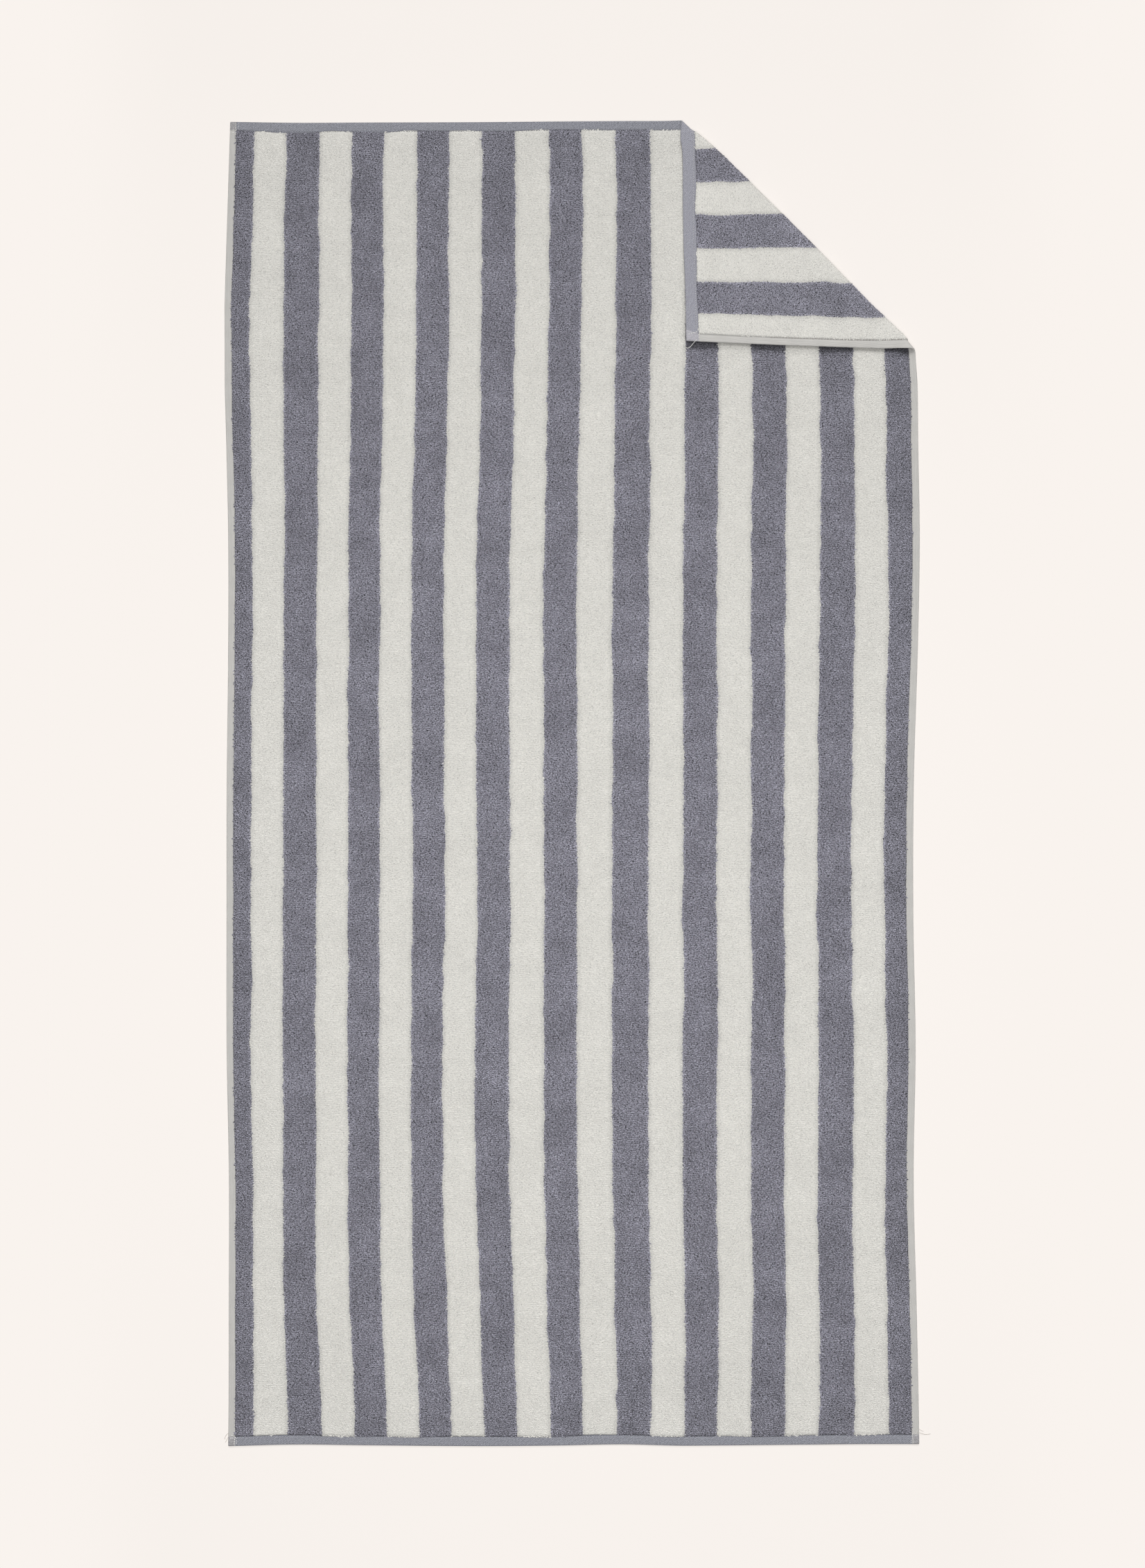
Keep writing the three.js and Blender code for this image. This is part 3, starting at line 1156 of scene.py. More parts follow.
@dataclass(frozen=True)
class TerryTone:
    """How light and dark the pile is from strand to strand, as shares of its yarn's colour. The
    strands fall to painted shade in the gaps between them, with a random part; the slate pile has
    painted light towards the middle of the towel and painted shade towards its edges; and the face
    has painted shade close below the turned corner.

    Close to a border between two stripes each colour is a little nearer to the other: the yarns mix
    there, and the pale is also darkened by painted shade where its pile thins out. Widths are in
    metres."""

    slate_deep_shade: float = 0.1
    slate_top: float = 1.95
    pale_deep_shade: float = 0.66
    pale_top: float = 1.03
    pale_full: float = 0.35
    pale_relief: float = 0.3
    pale_bounce: float = 0.75
    slate_patches: float = 1.0
    pale_patches: float = 0.2
    slate_middle_light: float = 0.14
    slate_edge_shade: float = 0.92
    slate_turned: float = 1.16
    pale_turned: float = 1.05
    slate_border: float = 1.2
    pale_border: float = 0.87
    border_starts: float = 0.0008
    slate_border_width: float = 0.0040
    pale_border_width: float = 0.0055

    def colour(
        self, graph: Graph, effects: Effects, yarns: Yarns, place: Socket
    ) -> tuple[Socket, Socket, Socket]:
        """Lays out the stripes with their patches and strands.

        Args:
            graph: The material's graph.
            effects: The node groups.
            yarns: The colours.
            place: The place on the cloth.

        Returns:
            The colour, how pale the yarn is, and the height of the strands from 0 to 1.
        """
        stripes = graph.group(effects.stripes, Place=place)
        pale = stripes["Pale"]
        contrast = graph.mix(pale, self.slate_patches, self.pale_patches)
        patches = graph.group(effects.patches, Place=place, Contrast=contrast)
        strand = graph.group(effects.flecks, Vector=graph.own_place())["Strand"]
        # Painted shade in the gaps between strands, with a random part: deep strands are darker, on
        # slate and on pale alike.
        slate_tone = graph.mix(strand, self.slate_deep_shade, self.slate_top)
        # Painted light: the slate pile is lighter towards the middle of the towel and darker
        # towards its edges.
        painted_middle_light = graph.math("MULTIPLY", patches["Middle"], self.slate_middle_light)
        slate_tone = graph.math("MULTIPLY", slate_tone, graph.math("ADD", painted_middle_light, self.slate_edge_shade))
        full = graph.step(strand, 0.0, self.pale_full)
        pale_tone = graph.mix(full, self.pale_deep_shade, self.pale_top)
        # The yarns mix at a border between stripes; the pale's darkening there is partly painted
        # shade where its pile thins out.
        inset = stripes["Inset"]
        within = graph.step(inset, self.border_starts, self.slate_border_width)
        border = graph.mix(within, self.slate_border, 1.0)
        slate_tone = graph.math("MULTIPLY", slate_tone, border)
        within = graph.step(inset, self.border_starts, self.pale_border_width)
        border = graph.mix(within, self.pale_border, 1.0)
        pale_tone = graph.math("MULTIPLY", pale_tone, border)
        tone = graph.mix(pale, slate_tone, pale_tone)
        tone = graph.math("MULTIPLY", tone, patches["Shade"])
        # Painted shade close below the turned corner, from the open attribute, kept weaker on the
        # pale yarn, which throws light back.
        bounce = graph.math("MULTIPLY", pale, self.pale_bounce)
        light = graph.mix(bounce, graph.attribute("open").outputs["Fac"], 1.0)
        tone = graph.math("MULTIPLY", tone, light)
        turned = graph.mix(pale, self.slate_turned, self.pale_turned)
        tone = graph.math("MULTIPLY", tone, graph.mix(graph.parts(place)[2], turned, 1.0))
        colour = graph.mix_colour(pale, yarns.slate, yarns.pale)
        height = graph.math("MULTIPLY", strand, graph.mix(pale, 1.0, self.pale_relief))
        return graph.shade(colour, tone), pale, height


@dataclass(frozen=True)
class GroundFinish:
    """The finish of the woven ground cloth and its hems. Pitches and reaches are in metres."""

    yarns: Yarns
    effects: Effects
    tone: TerryTone
    slate_crevice_shade: float = 0.62
    pale_crevice_shade: float = 0.86
    seam_shade: float = 0.72
    side_seam_shade: float = 0.9
    face_mottle: float = 2.5
    back_mottle: float = 1.7
    mottle_askew: float = -0.8
    mottle_size: float = 0.55
    side_turned: float = 1.04
    twill_pitch: float = 0.00315
    twill_contrast: float = 0.4
    line_pitch: float = 0.0012
    line_contrast: float = 0.12
    line_drawn: float = 0.025
    border: tuple[float, float] = (-0.0002, 0.0003)
    seam_reach: float = 0.0014
    side_reach: float = 0.001
    weave_height: float = 0.5
    relief: float = 0.0006

    def colours(self, graph: Graph, place: Socket) -> tuple[Socket, Socket]:
        """Lays out the colours of the ground and the hems.

        Args:
            graph: The material's graph.
            place: The place on the cloth.

        Returns:
            The colour, and the height of the weave from 0 to 1.
        """
        yarns = self.yarns
        side = graph.parts(place)[2]
        hems = graph.attribute("hems").outputs["Vector"]
        end_depth, side_depth, tack_depth = graph.parts(hems)
        twill = graph.group(
            self.effects.twill,
            Place=place,
            Pitch=self.twill_pitch,
            Contrast=self.twill_contrast,
        )
        lines = graph.group(
            self.effects.twill,
            Place=graph.stretched(place, 1.0, self.line_drawn, 1.0),
            Pitch=self.line_pitch,
            Contrast=self.line_contrast,
        )
        askew, size = graph.turned(place, self.mottle_askew), self.mottle_size
        mottle = graph.group(
            self.effects.fibres,
            Vector=graph.stretched(askew, size, size, 1.0),
            Contrast=graph.mix(side, self.back_mottle, self.face_mottle),
        )["Shade"]
        in_end = graph.step(end_depth, *self.border)
        in_side = graph.step(side_depth, *self.border)
        ground, pale, strand = self.tone.colour(graph, self.effects, yarns, place)
        # Painted shade: the ground between the tufts is darkened, more on slate than on pale.
        ground = graph.shade(ground, graph.mix(pale, self.slate_crevice_shade, self.pale_crevice_shade))
        end_hem = graph.mix_colour(side, yarns.end_hem_back, yarns.end_hem_face)
        end_hem = graph.shade(end_hem, graph.math("MULTIPLY", twill["Shade"], mottle))
        turned = graph.mix(side, self.side_turned, 1.0)
        side_hem = graph.shade(yarns.side_hem, graph.math("MULTIPLY", lines["Shade"], turned))
        corner = graph.mix_colour(side, yarns.corner_back, yarns.corner_face)
        corner = graph.shade(corner, graph.math("MULTIPLY", lines["Shade"], mottle))
        colour = graph.mix_colour(in_end, ground, end_hem)
        colour = graph.mix_colour(in_side, colour, side_hem)
        colour = graph.mix_colour(graph.step(tack_depth, *self.border), colour, corner)
        deepest = graph.math("MAXIMUM", end_depth, side_depth)
        seam = graph.step(graph.math("ABSOLUTE", deepest), self.seam_reach, 0.0)
        sideways = graph.math("SUBTRACT", side_depth, end_depth)
        beside = graph.math("MULTIPLY", graph.step(sideways, 0.0, self.side_reach), side)
        seam_shade = graph.mix(beside, self.seam_shade, self.side_seam_shade)
        colour = graph.shade(colour, graph.mix(seam, 1.0, seam_shade))
        ribs = graph.math("MULTIPLY", twill["Height"], self.weave_height)
        weave = graph.mix(in_end, strand, ribs)
        ribs = graph.math("MULTIPLY", lines["Height"], self.weave_height)
        return colour, graph.mix(in_side, weave, ribs)

    def material(self) -> bpy.types.Material:
        """Builds the material.

        Returns:
            The material.
        """
        graph, shader = new_material("terry_ground", 0.95, 0.15)
        place = graph.attribute("place").outputs["Vector"]
        colour, weave = self.colours(graph, place)
        graph.feed(shader.inputs["Base Color"], colour)
        add_bump(graph, shader, weave, self.relief)
        return bpy.data.materials["terry_ground"]


@dataclass(frozen=True)
class PileFinish:
    """The finish of the pile: each tuft has one yarn's colour, darkened towards its root by painted
    shade between the tufts.
    """

    yarns: Yarns
    effects: Effects
    tone: TerryTone
    slate_root_shade: float = 0.68
    pale_root_shade: float = 0.94
    slate_swing: float = 0.12
    pale_swing: float = 0.03
    root_reach: float = 0.6
    relief: float = 0.0006

    def material(self) -> bpy.types.Material:
        """Builds the material.

        Returns:
            The material.
        """
        graph, shader = new_material("terry_pile", 0.95, 0.1)
        place = graph.attribute("place").outputs["Vector"]
        grown = graph.attribute("grown").outputs["Fac"]
        own = graph.attribute("own").outputs["Fac"]
        colour, pale, strand = self.tone.colour(graph, self.effects, self.yarns, place)
        # Painted shade: each tuft darkens towards its root.
        root = graph.mix(pale, self.slate_root_shade, self.pale_root_shade)
        depth = graph.mix(graph.step(grown, 0.0, self.root_reach), root, 1.0)
        contrast = graph.mix(pale, self.slate_swing, self.pale_swing)
        tone = graph.math("MULTIPLY", depth, graph.swing(own, contrast))
        graph.feed(shader.inputs["Base Color"], graph.shade(colour, tone))
        add_bump(graph, shader, strand, self.relief)
        return bpy.data.materials["terry_pile"]


@dataclass(frozen=True)
class ThreadFinish:
    """The finish of twisted sewing thread of one colour."""

    name: str
    colour: Colour
    effects: Effects
    contrast: float = 0.5
    relief: float = 0.0001

    def material(self) -> bpy.types.Material:
        """Builds the material.

        Returns:
            The material.
        """
        graph, shader = new_material(self.name, 0.8, 0.1)
        place = graph.own_place()
        fibres = graph.group(self.effects.fibres, Vector=place, Contrast=self.contrast)
        graph.feed(shader.inputs["Base Color"], graph.shade(self.colour, fibres["Shade"]))
        add_bump(graph, shader, fibres["Height"], self.relief)
        return bpy.data.materials[self.name]


@dataclass
class Cloth:
    """The ground cloth with its hems, one closed sheet."""

    drape: Drape
    hem: Hem
    weave: "Weave"
    cell: float = 8.0
    pile_ground: float = 1.15
    pressed_pile: float = 1.85
    round_bend: int = 14
    settling: int = 12
    flat_rows: int = 11
    tip_rows: int = 16
    tip_depth: float = 28.0
    tip_left: float = 0.35
    hem_room: float = 0.92
    map_margin: float = 0.01
    side_marks: tuple[float, ...] = (
        0.0, 0.12, 0.35, 0.7, 1.15, 2.2, 3.6, 5.0, 6.0, 6.7, 7.3, 7.9, 8.6, 9.4, 10.4, 12.0,
    )
    end_marks: tuple[float, ...] = (
        0.0, 0.12, 0.35, 0.7, 1.15, 2.4, 4.2, 6.2, 8.0, 9.2, 9.9, 10.4, 11.0, 11.8, 12.8,
        13.8, 14.6, 16.0,
    )

    def spaced(self, start: Array, end: Array) -> Array:
        """Even steps of about one cell from start to end, without the two ends."""
        count = max(int(round((end - start) / self.cell)), 2)
        return np.linspace(start, end, count + 1)[1:-1]

    def main_net(self) -> tuple[Array, Array, int]:
        """Lays out rows across the cloth, which end at the fold line above the fold's end.

        Returns:
            u and v as grids of rows and columns, and the first row that ends on the fold line.
        """
        drape = self.drape
        sides, ends = np.array(self.side_marks), np.array(self.end_marks)
        slope = (drape.length - drape.fold_end_v) / (drape.width - drape.fold_start_u)
        above = drape.fold_end_v + sides * slope
        rows = np.concatenate([
            ends,
            self.spaced(ends[-1], drape.fold_end_v),
            above,
            self.spaced(above[-1], drape.length - ends[-1]),
            drape.length - ends[::-1],
        ])
        right = drape.width - np.clip(rows - drape.fold_end_v, 0.0, None) / slope
        count = len(self.spaced(sides[-1], drape.width - sides[-1]))
        share = np.arange(1, count + 1) / (count + 1)
        inner = blend(sides[-1], right[:, None] - sides[-1], share[None])
        u = np.concatenate([
            np.broadcast_to(sides, (len(rows), len(sides))),
            inner,
            right[:, None] - sides[::-1],
        ], axis=1)
        first = int(np.searchsorted(rows, drape.fold_end_v))
        return u, np.broadcast_to(rows[:, None], u.shape), first

    def corner_net(self, fold_v: Array) -> tuple[Array, Array]:
        """Lays out rows alongside the fold line, each shorter than the last, to the corner.

        Each row keeps the fold row's distances from the cloth's two edges in the hems, and
        spreads the rest evenly. Close to the corner, where those no longer fit, they shrink.

        Args:
            fold_v: v of the points on the fold line, from the top end down.

        Returns:
            u and v as grids of rows and columns, without the fold row itself.
        """
        drape = self.drape
        wide = drape.width - drape.fold_start_u
        high = drape.length - drape.fold_end_v
        deep = wide * high / math.hypot(wide, high)
        bend = math.pi * drape.widest_roll
        depths = np.concatenate([
            np.linspace(0.0, bend, self.round_bend + 1)[1:],
            np.linspace(bend, bend + drape.roll_settles, self.settling + 1)[1:],
            np.linspace(bend + drape.roll_settles, deep - self.tip_depth, self.flat_rows + 1)[1:],
            np.linspace(deep - self.tip_depth, deep - self.tip_left, self.tip_rows + 1)[1:],
        ])
        share = (1.0 - depths / deep)[:, None]
        down = drape.length - fold_v
        near, far = len(self.end_marks), len(self.side_marks)
        top, bottom = down[:near], high - down[-far:]
        room = self.hem_room * high * share / (top[-1] + bottom[0])
        fit = np.minimum(1.0, room)
        spread = (down[near:-far] - top[-1]) / (high - bottom[0] - top[-1])
        start, stop = top[-1] * fit, high * share - bottom[0] * fit
        from_top = np.concatenate([
            top[None] * fit, blend(start, stop, spread[None]), high * share - bottom[None] * fit
        ], axis=1)
        part = from_top / (high * share)
        u = drape.width - wide * share * (1.0 - part)
        return u, drape.length - high * share * part

    def net(self) -> tuple[Array, Array, list[Array]]:
        """Joins both nets.

        Returns:
            u and v of each point, and the faces: quads, then the triangles at the very corner.
        """
        u, v, first = self.main_net()
        numbers = np.arange(u.size).reshape(u.shape)
        fold = numbers[first:, -1][::-1]
        corner_u, corner_v = self.corner_net(v[first:, -1][::-1])
        corner = np.arange(corner_u.size).reshape(corner_u.shape) + u.size
        corner = np.concatenate([fold[None], corner])
        tip = u.size + corner_u.size
        quads = np.concatenate([
            np.stack([g[:-1, :-1], g[:-1, 1:], g[1:, 1:], g[1:, :-1]], -1).reshape(-1, 4)
            for g in (numbers, corner)
        ])
        last = corner[-1]
        fan = np.stack([last[:-1], last[1:], np.full(len(last) - 1, tip)], -1)
        all_u = np.concatenate([u.ravel(), corner_u.ravel(), [self.drape.width]])
        all_v = np.concatenate([v.ravel(), corner_v.ravel(), [self.drape.length]])
        return all_u, all_v, [quads, fan]

    def lift(self, u: Array, v: Array, side: Side) -> Array:
        """Height of one side of the sheet above mid-cloth, without its tufts.

        The side that shows has a low ground for tufts to stand on. The other one is pressed
        pile, as thick as the tufts would be.

        Args:
            u: Distances from the left selvedge.
            v: Distances from the bottom end.
            side: Side of the cloth.

        Returns:
            The heights.
        """
        turned = self.drape.turned(u, v)
        shows = 1.0 - turned if side is Side.FACE else ease(2.0 * turned - 1.0)
        inner = blend(self.pressed_pile, self.pile_ground, shows)
        return self.hem.lift(self.drape, u, v, side, inner)

    def surface(self, u: Array, v: Array, side: Side) -> Array:
        """Points of one side of the sheet, in metres."""
        lift = self.lift(u, v, side) * side.value
        return self.drape.place(*self.drape.rounded(u, v), lift)

    def settle(self) -> None:
        """Moves the drape so that the sheet lies in the middle of the towel's own box."""
        u, v, _ = self.net()
        points = np.concatenate([self.surface(u, v, side) for side in Side])
        low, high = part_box(NODE)
        middle = (points.min(0) + points.max(0)) / 2
        self.drape.shift = np.array([(low.x + high.x) / 2, (low.y + high.y) / 2, 0.0]) - middle
        self.drape.shift[2] = 0.0

    def build(self, material: bpy.types.Material) -> bpy.types.Object:
        """Makes the sheet: the net laid twice, as face and back, sharing the points of its rim.

        Args:
            material: The ground's material.

        Returns:
            The sheet.
        """
        u, v, faces = self.net()
        drape, count = self.drape, len(u)
        rim = (u <= 0) | (u >= drape.width) | (v <= 0) | (v >= drape.length)
        back = np.where(rim, np.arange(count), count + np.cumsum(~rim) - 1)
        face_points = self.surface(u, v, Side.FACE)
        back_points = self.surface(u[~rim], v[~rim], Side.BACK)
        flat = self.weave.place(u, v)
        sides = np.concatenate([np.ones(count), np.zeros(count - rim.sum())])
        place = np.column_stack([np.concatenate([flat, flat[~rim]]) * MM, sides])
        front = self.hem.depths(drape, u, v, Side.FACE)
        behind = self.hem.depths(drape, u[~rim], v[~rim], Side.BACK)
        depths = [np.concatenate(pair) * MM for pair in zip(front, behind)]
        tacked = np.concatenate([
            self.hem.tack_depth(drape, u, v, Side.FACE),
            self.hem.tack_depth(drape, u[~rim], v[~rim], Side.BACK),
        ])
        turned_over = [back[part[:, ::-1]] for part in faces]
        margin = self.map_margin
        spot = np.column_stack([
            margin + (0.5 - 2 * margin) * u / drape.width,
            margin + (1.0 - 2 * margin) * v / drape.length,
        ])
        spots = [spot[part].reshape(-1, 2) for part in faces]
        spots += [spot[part[:, ::-1]].reshape(-1, 2) + (0.5, 0.0) for part in faces]
        sheet = mesh_object(
            "towel_cloth",
            np.concatenate([face_points, back_points]),
            faces + turned_over,
            smooth=True,
            values={
                "place": place,
                "hems": np.column_stack([*depths, tacked * MM]),
                "open": np.concatenate([drape.open(u, v, Side.FACE), np.ones((~rim).sum())]),
            },
            bake_map=np.concatenate(spots),
        )
        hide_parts(NODE)
        return finish_piece(sheet, material)


@dataclass(frozen=True)
class Weave:
    """Where the yarns of the stripes run on the flat cloth, in millimetres.

    The stripes are not all quite as wide as each other, and they wander a little. Each row of
    wander is the seed of a random field, its size and how far it draws the yarns aside."""

    wander: tuple[tuple[int, float, float], ...] = (
        (3, 17.0, 1.0),
        (4, 6.5, 0.62),
        (5, 50.0, 0.85),
    )
    drawn_across: float = 0.6

    def place(self, u: Array, v: Array) -> Array:
        """Finds the yarn at a point of the cloth. It strays a little to either side.

        Args:
            u: Distances from the left selvedge.
            v: Distances from the bottom end.

        Returns:
            One row of u and v for each point, where the yarn would lie if it ran straight.
        """
        stray = STRAYS.curve("by", u) + DRAWN.mounds(u, v)
        for seed, size, far in self.wander:
            stray = stray + far * patches(seed, size, u * self.drawn_across, v)
        return np.column_stack([u + stray, v])


@dataclass(frozen=True)
class Lay:
    """How the tufts of one side stand, in millimetres: the distance between their roots, the
    size of a tuft against its full size, its height, and how far their ways stray, in
    radians."""

    pitch: float
    scale: float
    high: float
    stray: float


@dataclass(frozen=True)
class Pile:
    """The pile that shows: thousands of small leaning tufts, on the face and on the turned
    corner. Each is a closed form of four triangles: a ridge along the way it leans, over two
    points sunk into the ground at either side.

    Each row of flows, and over, is the seed of a random field, its size and its weight."""

    cloth: Cloth
    stripes: Stripes
    face: Lay = Lay(pitch=2.32, scale=1.0, high=0.95, stray=0.4)
    corner: Lay = Lay(pitch=1.95, scale=0.85, high=0.8, stray=0.35)
    strips: int = 5
    seed: int = 11
    sunk: float = 0.45
    wide: float = 1.05
    tail: float = 0.9
    lean: float = 2.1
    ridge: float = 0.5
    pale_high: float = 0.45
    pale_wide: float = 1.15
    sizes: tuple[float, float] = (0.75, 1.2)
    heights: tuple[float, float] = (0.6, 1.2)
    set_over: tuple[float, float] = (0.25, 0.75)
    uneven: tuple[float, float] = (0.24, 0.2)
    under_corner: float = 5.0
    face_until: float = 0.5
    turned_from: float = 0.4
    border: tuple[int, float, float] = (8, 3.2, 0.9)
    flows: tuple[tuple[int, float, float], ...] = ((21, 42.0, 0.75), (22, 13.0, 0.45))
    over: tuple[int, float, float] = (23, 27.0, 1.0)
    over_stray: float = 0.3
    over_from: float = -0.12

    def lay(self, side: Side) -> Lay:
        """How the tufts of this side stand."""
        return self.face if side is Side.FACE else self.corner

    def roots(self, pitch: float) -> tuple[Array, Array]:
        """Lays out the tufts in rows, with every other row set over, a little uneven.

        Args:
            pitch: Distance between roots.

        Returns:
            u and v of the roots.
        """
        drape = self.cloth.drape
        across = np.arange(0.0, drape.width, pitch)
        along = np.arange(0.0, drape.length, pitch)
        u, v = np.meshgrid(across, along)
        u = u + np.where(np.arange(len(along)) % 2 == 0, *self.set_over)[:, None] * pitch
        rng = np.random.default_rng(self.seed)
        u = u + rng.normal(0.0, self.uneven[0] * pitch, u.shape)
        v = v + rng.normal(0.0, self.uneven[1] * pitch, v.shape) + 0.5 * pitch
        return u.ravel(), v.ravel()

    def within(self, u: Array, v: Array, side: Side) -> Array:
        """Which roots stand inside the hems of one side, where its pile shows.

        The border with the hems is uneven, and a little pile reaches under the turned corner.

        Args:
            u: Distances from the left selvedge.
            v: Distances from the bottom end.
            side: Side of the cloth.

        Returns:
            True for each root that stands there.
        """
        drape = self.cloth.drape
        inside = -np.maximum(*self.cloth.hem.depths(drape, u, v, side))
        past, roll = drape.past_fold(u, v)
        if side is Side.FACE:
            beyond = np.maximum(*drape.beyond_corner(u, v))
            shows = (past < self.face_until) & (beyond > -self.under_corner)
        else:
            shows = past > self.turned_from * roll
        return (inside > self.field(self.border, u, v)) & shows

    @staticmethod
    def field(row: tuple[int, float, float], u: Array, v: Array) -> Array:
        """A random field from its seed, its size and its weight."""
        seed, size, weight = row
        return weight * patches(seed, size, u, v)

    def ways(self, u: Array, v: Array, stray: float, rng: np.random.Generator) -> Array:
        """The ways in which tufts lean: mostly across the towel, wandering from place to place.

        They lean to the right in some places and to the left in others, which is over.

        Args:
            u: Distances of the roots from the left selvedge.
            v: Distances of the roots from the bottom end.
            stray: How far single tufts stray from their neighbours.
            rng: Source of random numbers.

        Returns:
            Angles from the way across.
        """
        flow = sum(self.field(row, u, v) for row in self.flows)
        chance = rng.normal(0.0, self.over_stray, len(u))
        over = self.field(self.over, u, v) + chance > self.over_from
        return flow + np.where(over, np.pi, 0.0) + rng.normal(0.0, stray, len(u))

    def tufts(self, u: Array, v: Array, side: Side, name: str) -> bpy.types.Object:
        """Makes one piece of pile.

        Args:
            u: Distances of the roots from the left selvedge.
            v: Distances of the roots from the bottom end.
            side: Side of the cloth that they stand on.
            name: Name of the piece.

        Returns:
            The piece.
        """
        lay, count = self.lay(side), len(u)
        rng = np.random.default_rng(self.seed + count)
        facing = 1.0 if side is Side.FACE else 0.0
        way = self.ways(u, v, lay.stray, rng)
        size = lay.scale * rng.uniform(*self.sizes, count)
        along = np.stack([np.cos(way), np.sin(way)], -1)
        aside = np.stack([-along[:, 1], along[:, 0]], -1)
        yarn = self.cloth.weave.place(u, v)
        pale = self.stripes.pale(yarn[:, 0], np.full(count, facing))
        high = lay.high * rng.uniform(*self.heights, count) * np.where(pale, self.pale_high, 1.0)
        wide = self.wide * size * np.where(pale, self.pale_wide, 1.0)
        root = np.stack([u, v], -1)
        corners = (
            root - along * (self.tail * size)[:, None],
            root + aside * wide[:, None],
            root - aside * wide[:, None],
            root + along * (self.lean * size)[:, None],
        )
        sunk = np.full(count, -self.sunk)
        rise = np.stack([self.ridge * high, sunk, sunk, high], 1).ravel()
        flat = np.stack(corners, 1).reshape(-1, 2)
        ground = np.where(
            rise < 0,
            self.cloth.lift(flat[:, 0], flat[:, 1], side),
            np.repeat(self.cloth.lift(u, v, side), 4),
        )
        points = self.cloth.drape.place(flat[:, 0], flat[:, 1], (ground + rise) * side.value)
        points[:, 2] = np.maximum(points[:, 2], 0.0)
        first = np.arange(count)[:, None, None] * 4
        shape = np.array([[0, 1, 3], [0, 3, 2], [0, 2, 1], [1, 2, 3]])
        place = np.column_stack([yarn * MM, np.full(count, facing)])
        return mesh_object(
            name,
            points,
            outward(points, [(first + shape[None]).reshape(-1, 3)]),
            smooth=False,
            values={
                "place": np.repeat(place, 4, axis=0),
                "grown": np.tile([0.5, 0.0, 0.0, 1.0], count),
                "own": np.repeat(rng.random(count), 4),
                "open": np.repeat(self.cloth.drape.open(u, v, side), 4),
            },
            bake_map=self.cells(count),
        )

    def cells(self, count: int) -> Array:
        """Gives each tuft a cell of its own on the bake map, and each of its faces a quarter.

        Args:
            count: Number of tufts.

        Returns:
            Map coordinates for each corner of each face.
        """
        across = math.ceil(math.sqrt(count))
        column, row = np.arange(count) % across, np.arange(count) // across
        quarters = np.array([
            [[0.08, 0.08], [0.92, 0.08], [0.5, 0.46]],
            [[0.08, 0.92], [0.5, 0.54], [0.92, 0.92]],
            [[0.04, 0.12], [0.46, 0.5], [0.04, 0.88]],
            [[0.96, 0.12], [0.96, 0.88], [0.54, 0.5]],
        ])
        corner = np.stack([column, row], -1)[:, None, None]
        return ((corner + quarters[None]) / across).reshape(-1, 2)

    def build(self, material: bpy.types.Material) -> list[bpy.types.Object]:
        """Makes the pile of the face, strip by strip, and that of the turned corner.

        Args:
            material: The pile's material.

        Returns:
            The pieces.
        """
        u, v = self.roots(self.face.pitch)
        shown = self.within(u, v, Side.FACE)
        u, v = u[shown], v[shown]
        strip = np.clip(u / self.cloth.drape.width * self.strips, 0, self.strips - 1).astype(int)
        pieces = [
            self.tufts(u[strip == number], v[strip == number], Side.FACE, f"face_pile_{number + 1}")
            for number in range(self.strips)
        ]
        u, v = self.roots(self.corner.pitch)
        shown = self.within(u, v, Side.BACK)
        pieces.append(self.tufts(u[shown], v[shown], Side.BACK, "turned_corner_pile"))
        return [finish_piece(piece, material) for piece in pieces]


@dataclass(frozen=True)
class Run:
    """A straight run of stitches on one side of the cloth, in millimetres."""

    start: tuple[float, float]
    end: tuple[float, float]
    side: Side
    pitch: float = 3.0
    share: float = 0.8
    thick: float = 0.5


